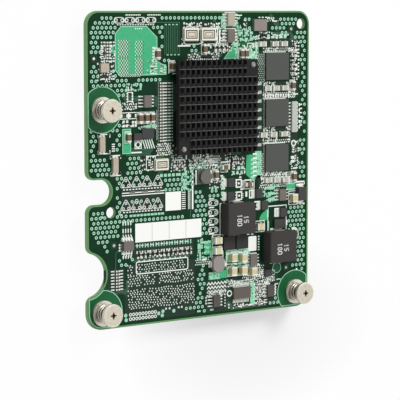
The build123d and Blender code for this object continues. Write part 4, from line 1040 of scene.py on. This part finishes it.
def shown_white(material, share):
    """Mixes a white of strength 1, by a share, into what the camera, mirrors and glass see of a material."""
    nodes, links = material.node_tree.nodes, material.node_tree.links
    path = nodes.new("ShaderNodeLightPath")
    seen = math(material, "MAXIMUM", path.outputs["Is Camera Ray"], path.outputs["Is Transmission Ray"])
    seen = math(material, "MAXIMUM", seen, path.outputs["Is Glossy Ray"])
    glow = nodes.new("ShaderNodeEmission")
    mix = nodes.new("ShaderNodeMixShader")
    links.new(math(material, "MULTIPLY", seen, share), mix.inputs["Fac"])
    links.new(nodes["Principled BSDF"].outputs["BSDF"], mix.inputs[1])
    links.new(glow.outputs["Emission"], mix.inputs[2])
    links.new(mix.outputs["Shader"], nodes["Material Output"].inputs["Surface"])


def floor():
    """Pale floor: a level square grid under the card, with a painted shade in an oval past its foot, where
    less white is mixed in and the card's shadow also shows more.
    """
    count, half_side, drop = 9, 4.0, 0.0002
    side = np.linspace(-half_side, half_side, count)
    points = np.insert(grid(side, side), 2, -drop, axis=1)
    i = np.arange(count - 1)
    corner = (i[:, None] * count + i).reshape(-1)
    faces = np.stack([corner, corner + 1, corner + count + 1, corner + count], axis=1)
    mesh = bpy.data.meshes.new("floor")
    mesh.from_pydata(points.tolist(), [], faces.tolist())
    material = finish("floor", (238, 238, 238), (242, 242, 242), 0.7, grain=20.0)
    across, along, _ = axes(material, "Object")
    # Painted shade: the white share falls from 0.95 to 0.35 towards the middle of an oval past the card's
    # foot
    oval_x, oval_y, flatness = 30.0, FOOT - 8.0, 0.6
    dx = math(material, "MULTIPLY", math(material, "SUBTRACT", across, oval_x * MM), flatness)
    dy = math(material, "SUBTRACT", along, oval_y * MM)
    away = math(material, "ADD", math(material, "MULTIPLY", dx, dx), math(material, "MULTIPLY", dy, dy))
    painted_shade_share = material.node_tree.nodes.new("ShaderNodeMapRange")
    for name, value in (("From Min", 0.0), ("From Max", 0.0014), ("To Min", 0.35), ("To Max", 0.95)):
        painted_shade_share.inputs[name].default_value = value
    material.node_tree.links.new(away, painted_shade_share.inputs["Value"])
    shown_white(material, painted_shade_share.outputs["Result"])
    mesh.materials.append(material)
    made = bpy.data.objects.new("floor", mesh)
    bpy.context.collection.objects.link(made)


def lamp(name, place, size, power):
    """Square lamp that faces the middle of the card."""
    light = bpy.data.lights.new(name, "AREA")
    light.size = size
    light.energy = power
    made = bpy.data.objects.new(name, light)
    away = np.array(place, float)
    away /= np.linalg.norm(away)
    across = np.cross([0, 1, 0.01], away)
    across /= np.linalg.norm(across)
    made.matrix_world = placed(across, np.cross(away, across), away, place)
    bpy.context.collection.objects.link(made)


camera()
floor()
lamp("key", (0.3, 0.8, 1.0), 0.5, 9.5)
lamp("fill", (0.4, -0.2, 1.0), 1.0, 2.5)
world = bpy.data.worlds.new("studio")
world.use_nodes = True
world.node_tree.nodes["Background"].inputs["Color"].default_value = (1.0, 1.0, 1.0, 1.0)
world.node_tree.nodes["Background"].inputs["Strength"].default_value = 0.46
bpy.context.scene.world = world
bpy.context.scene.view_settings.view_transform = "Standard"
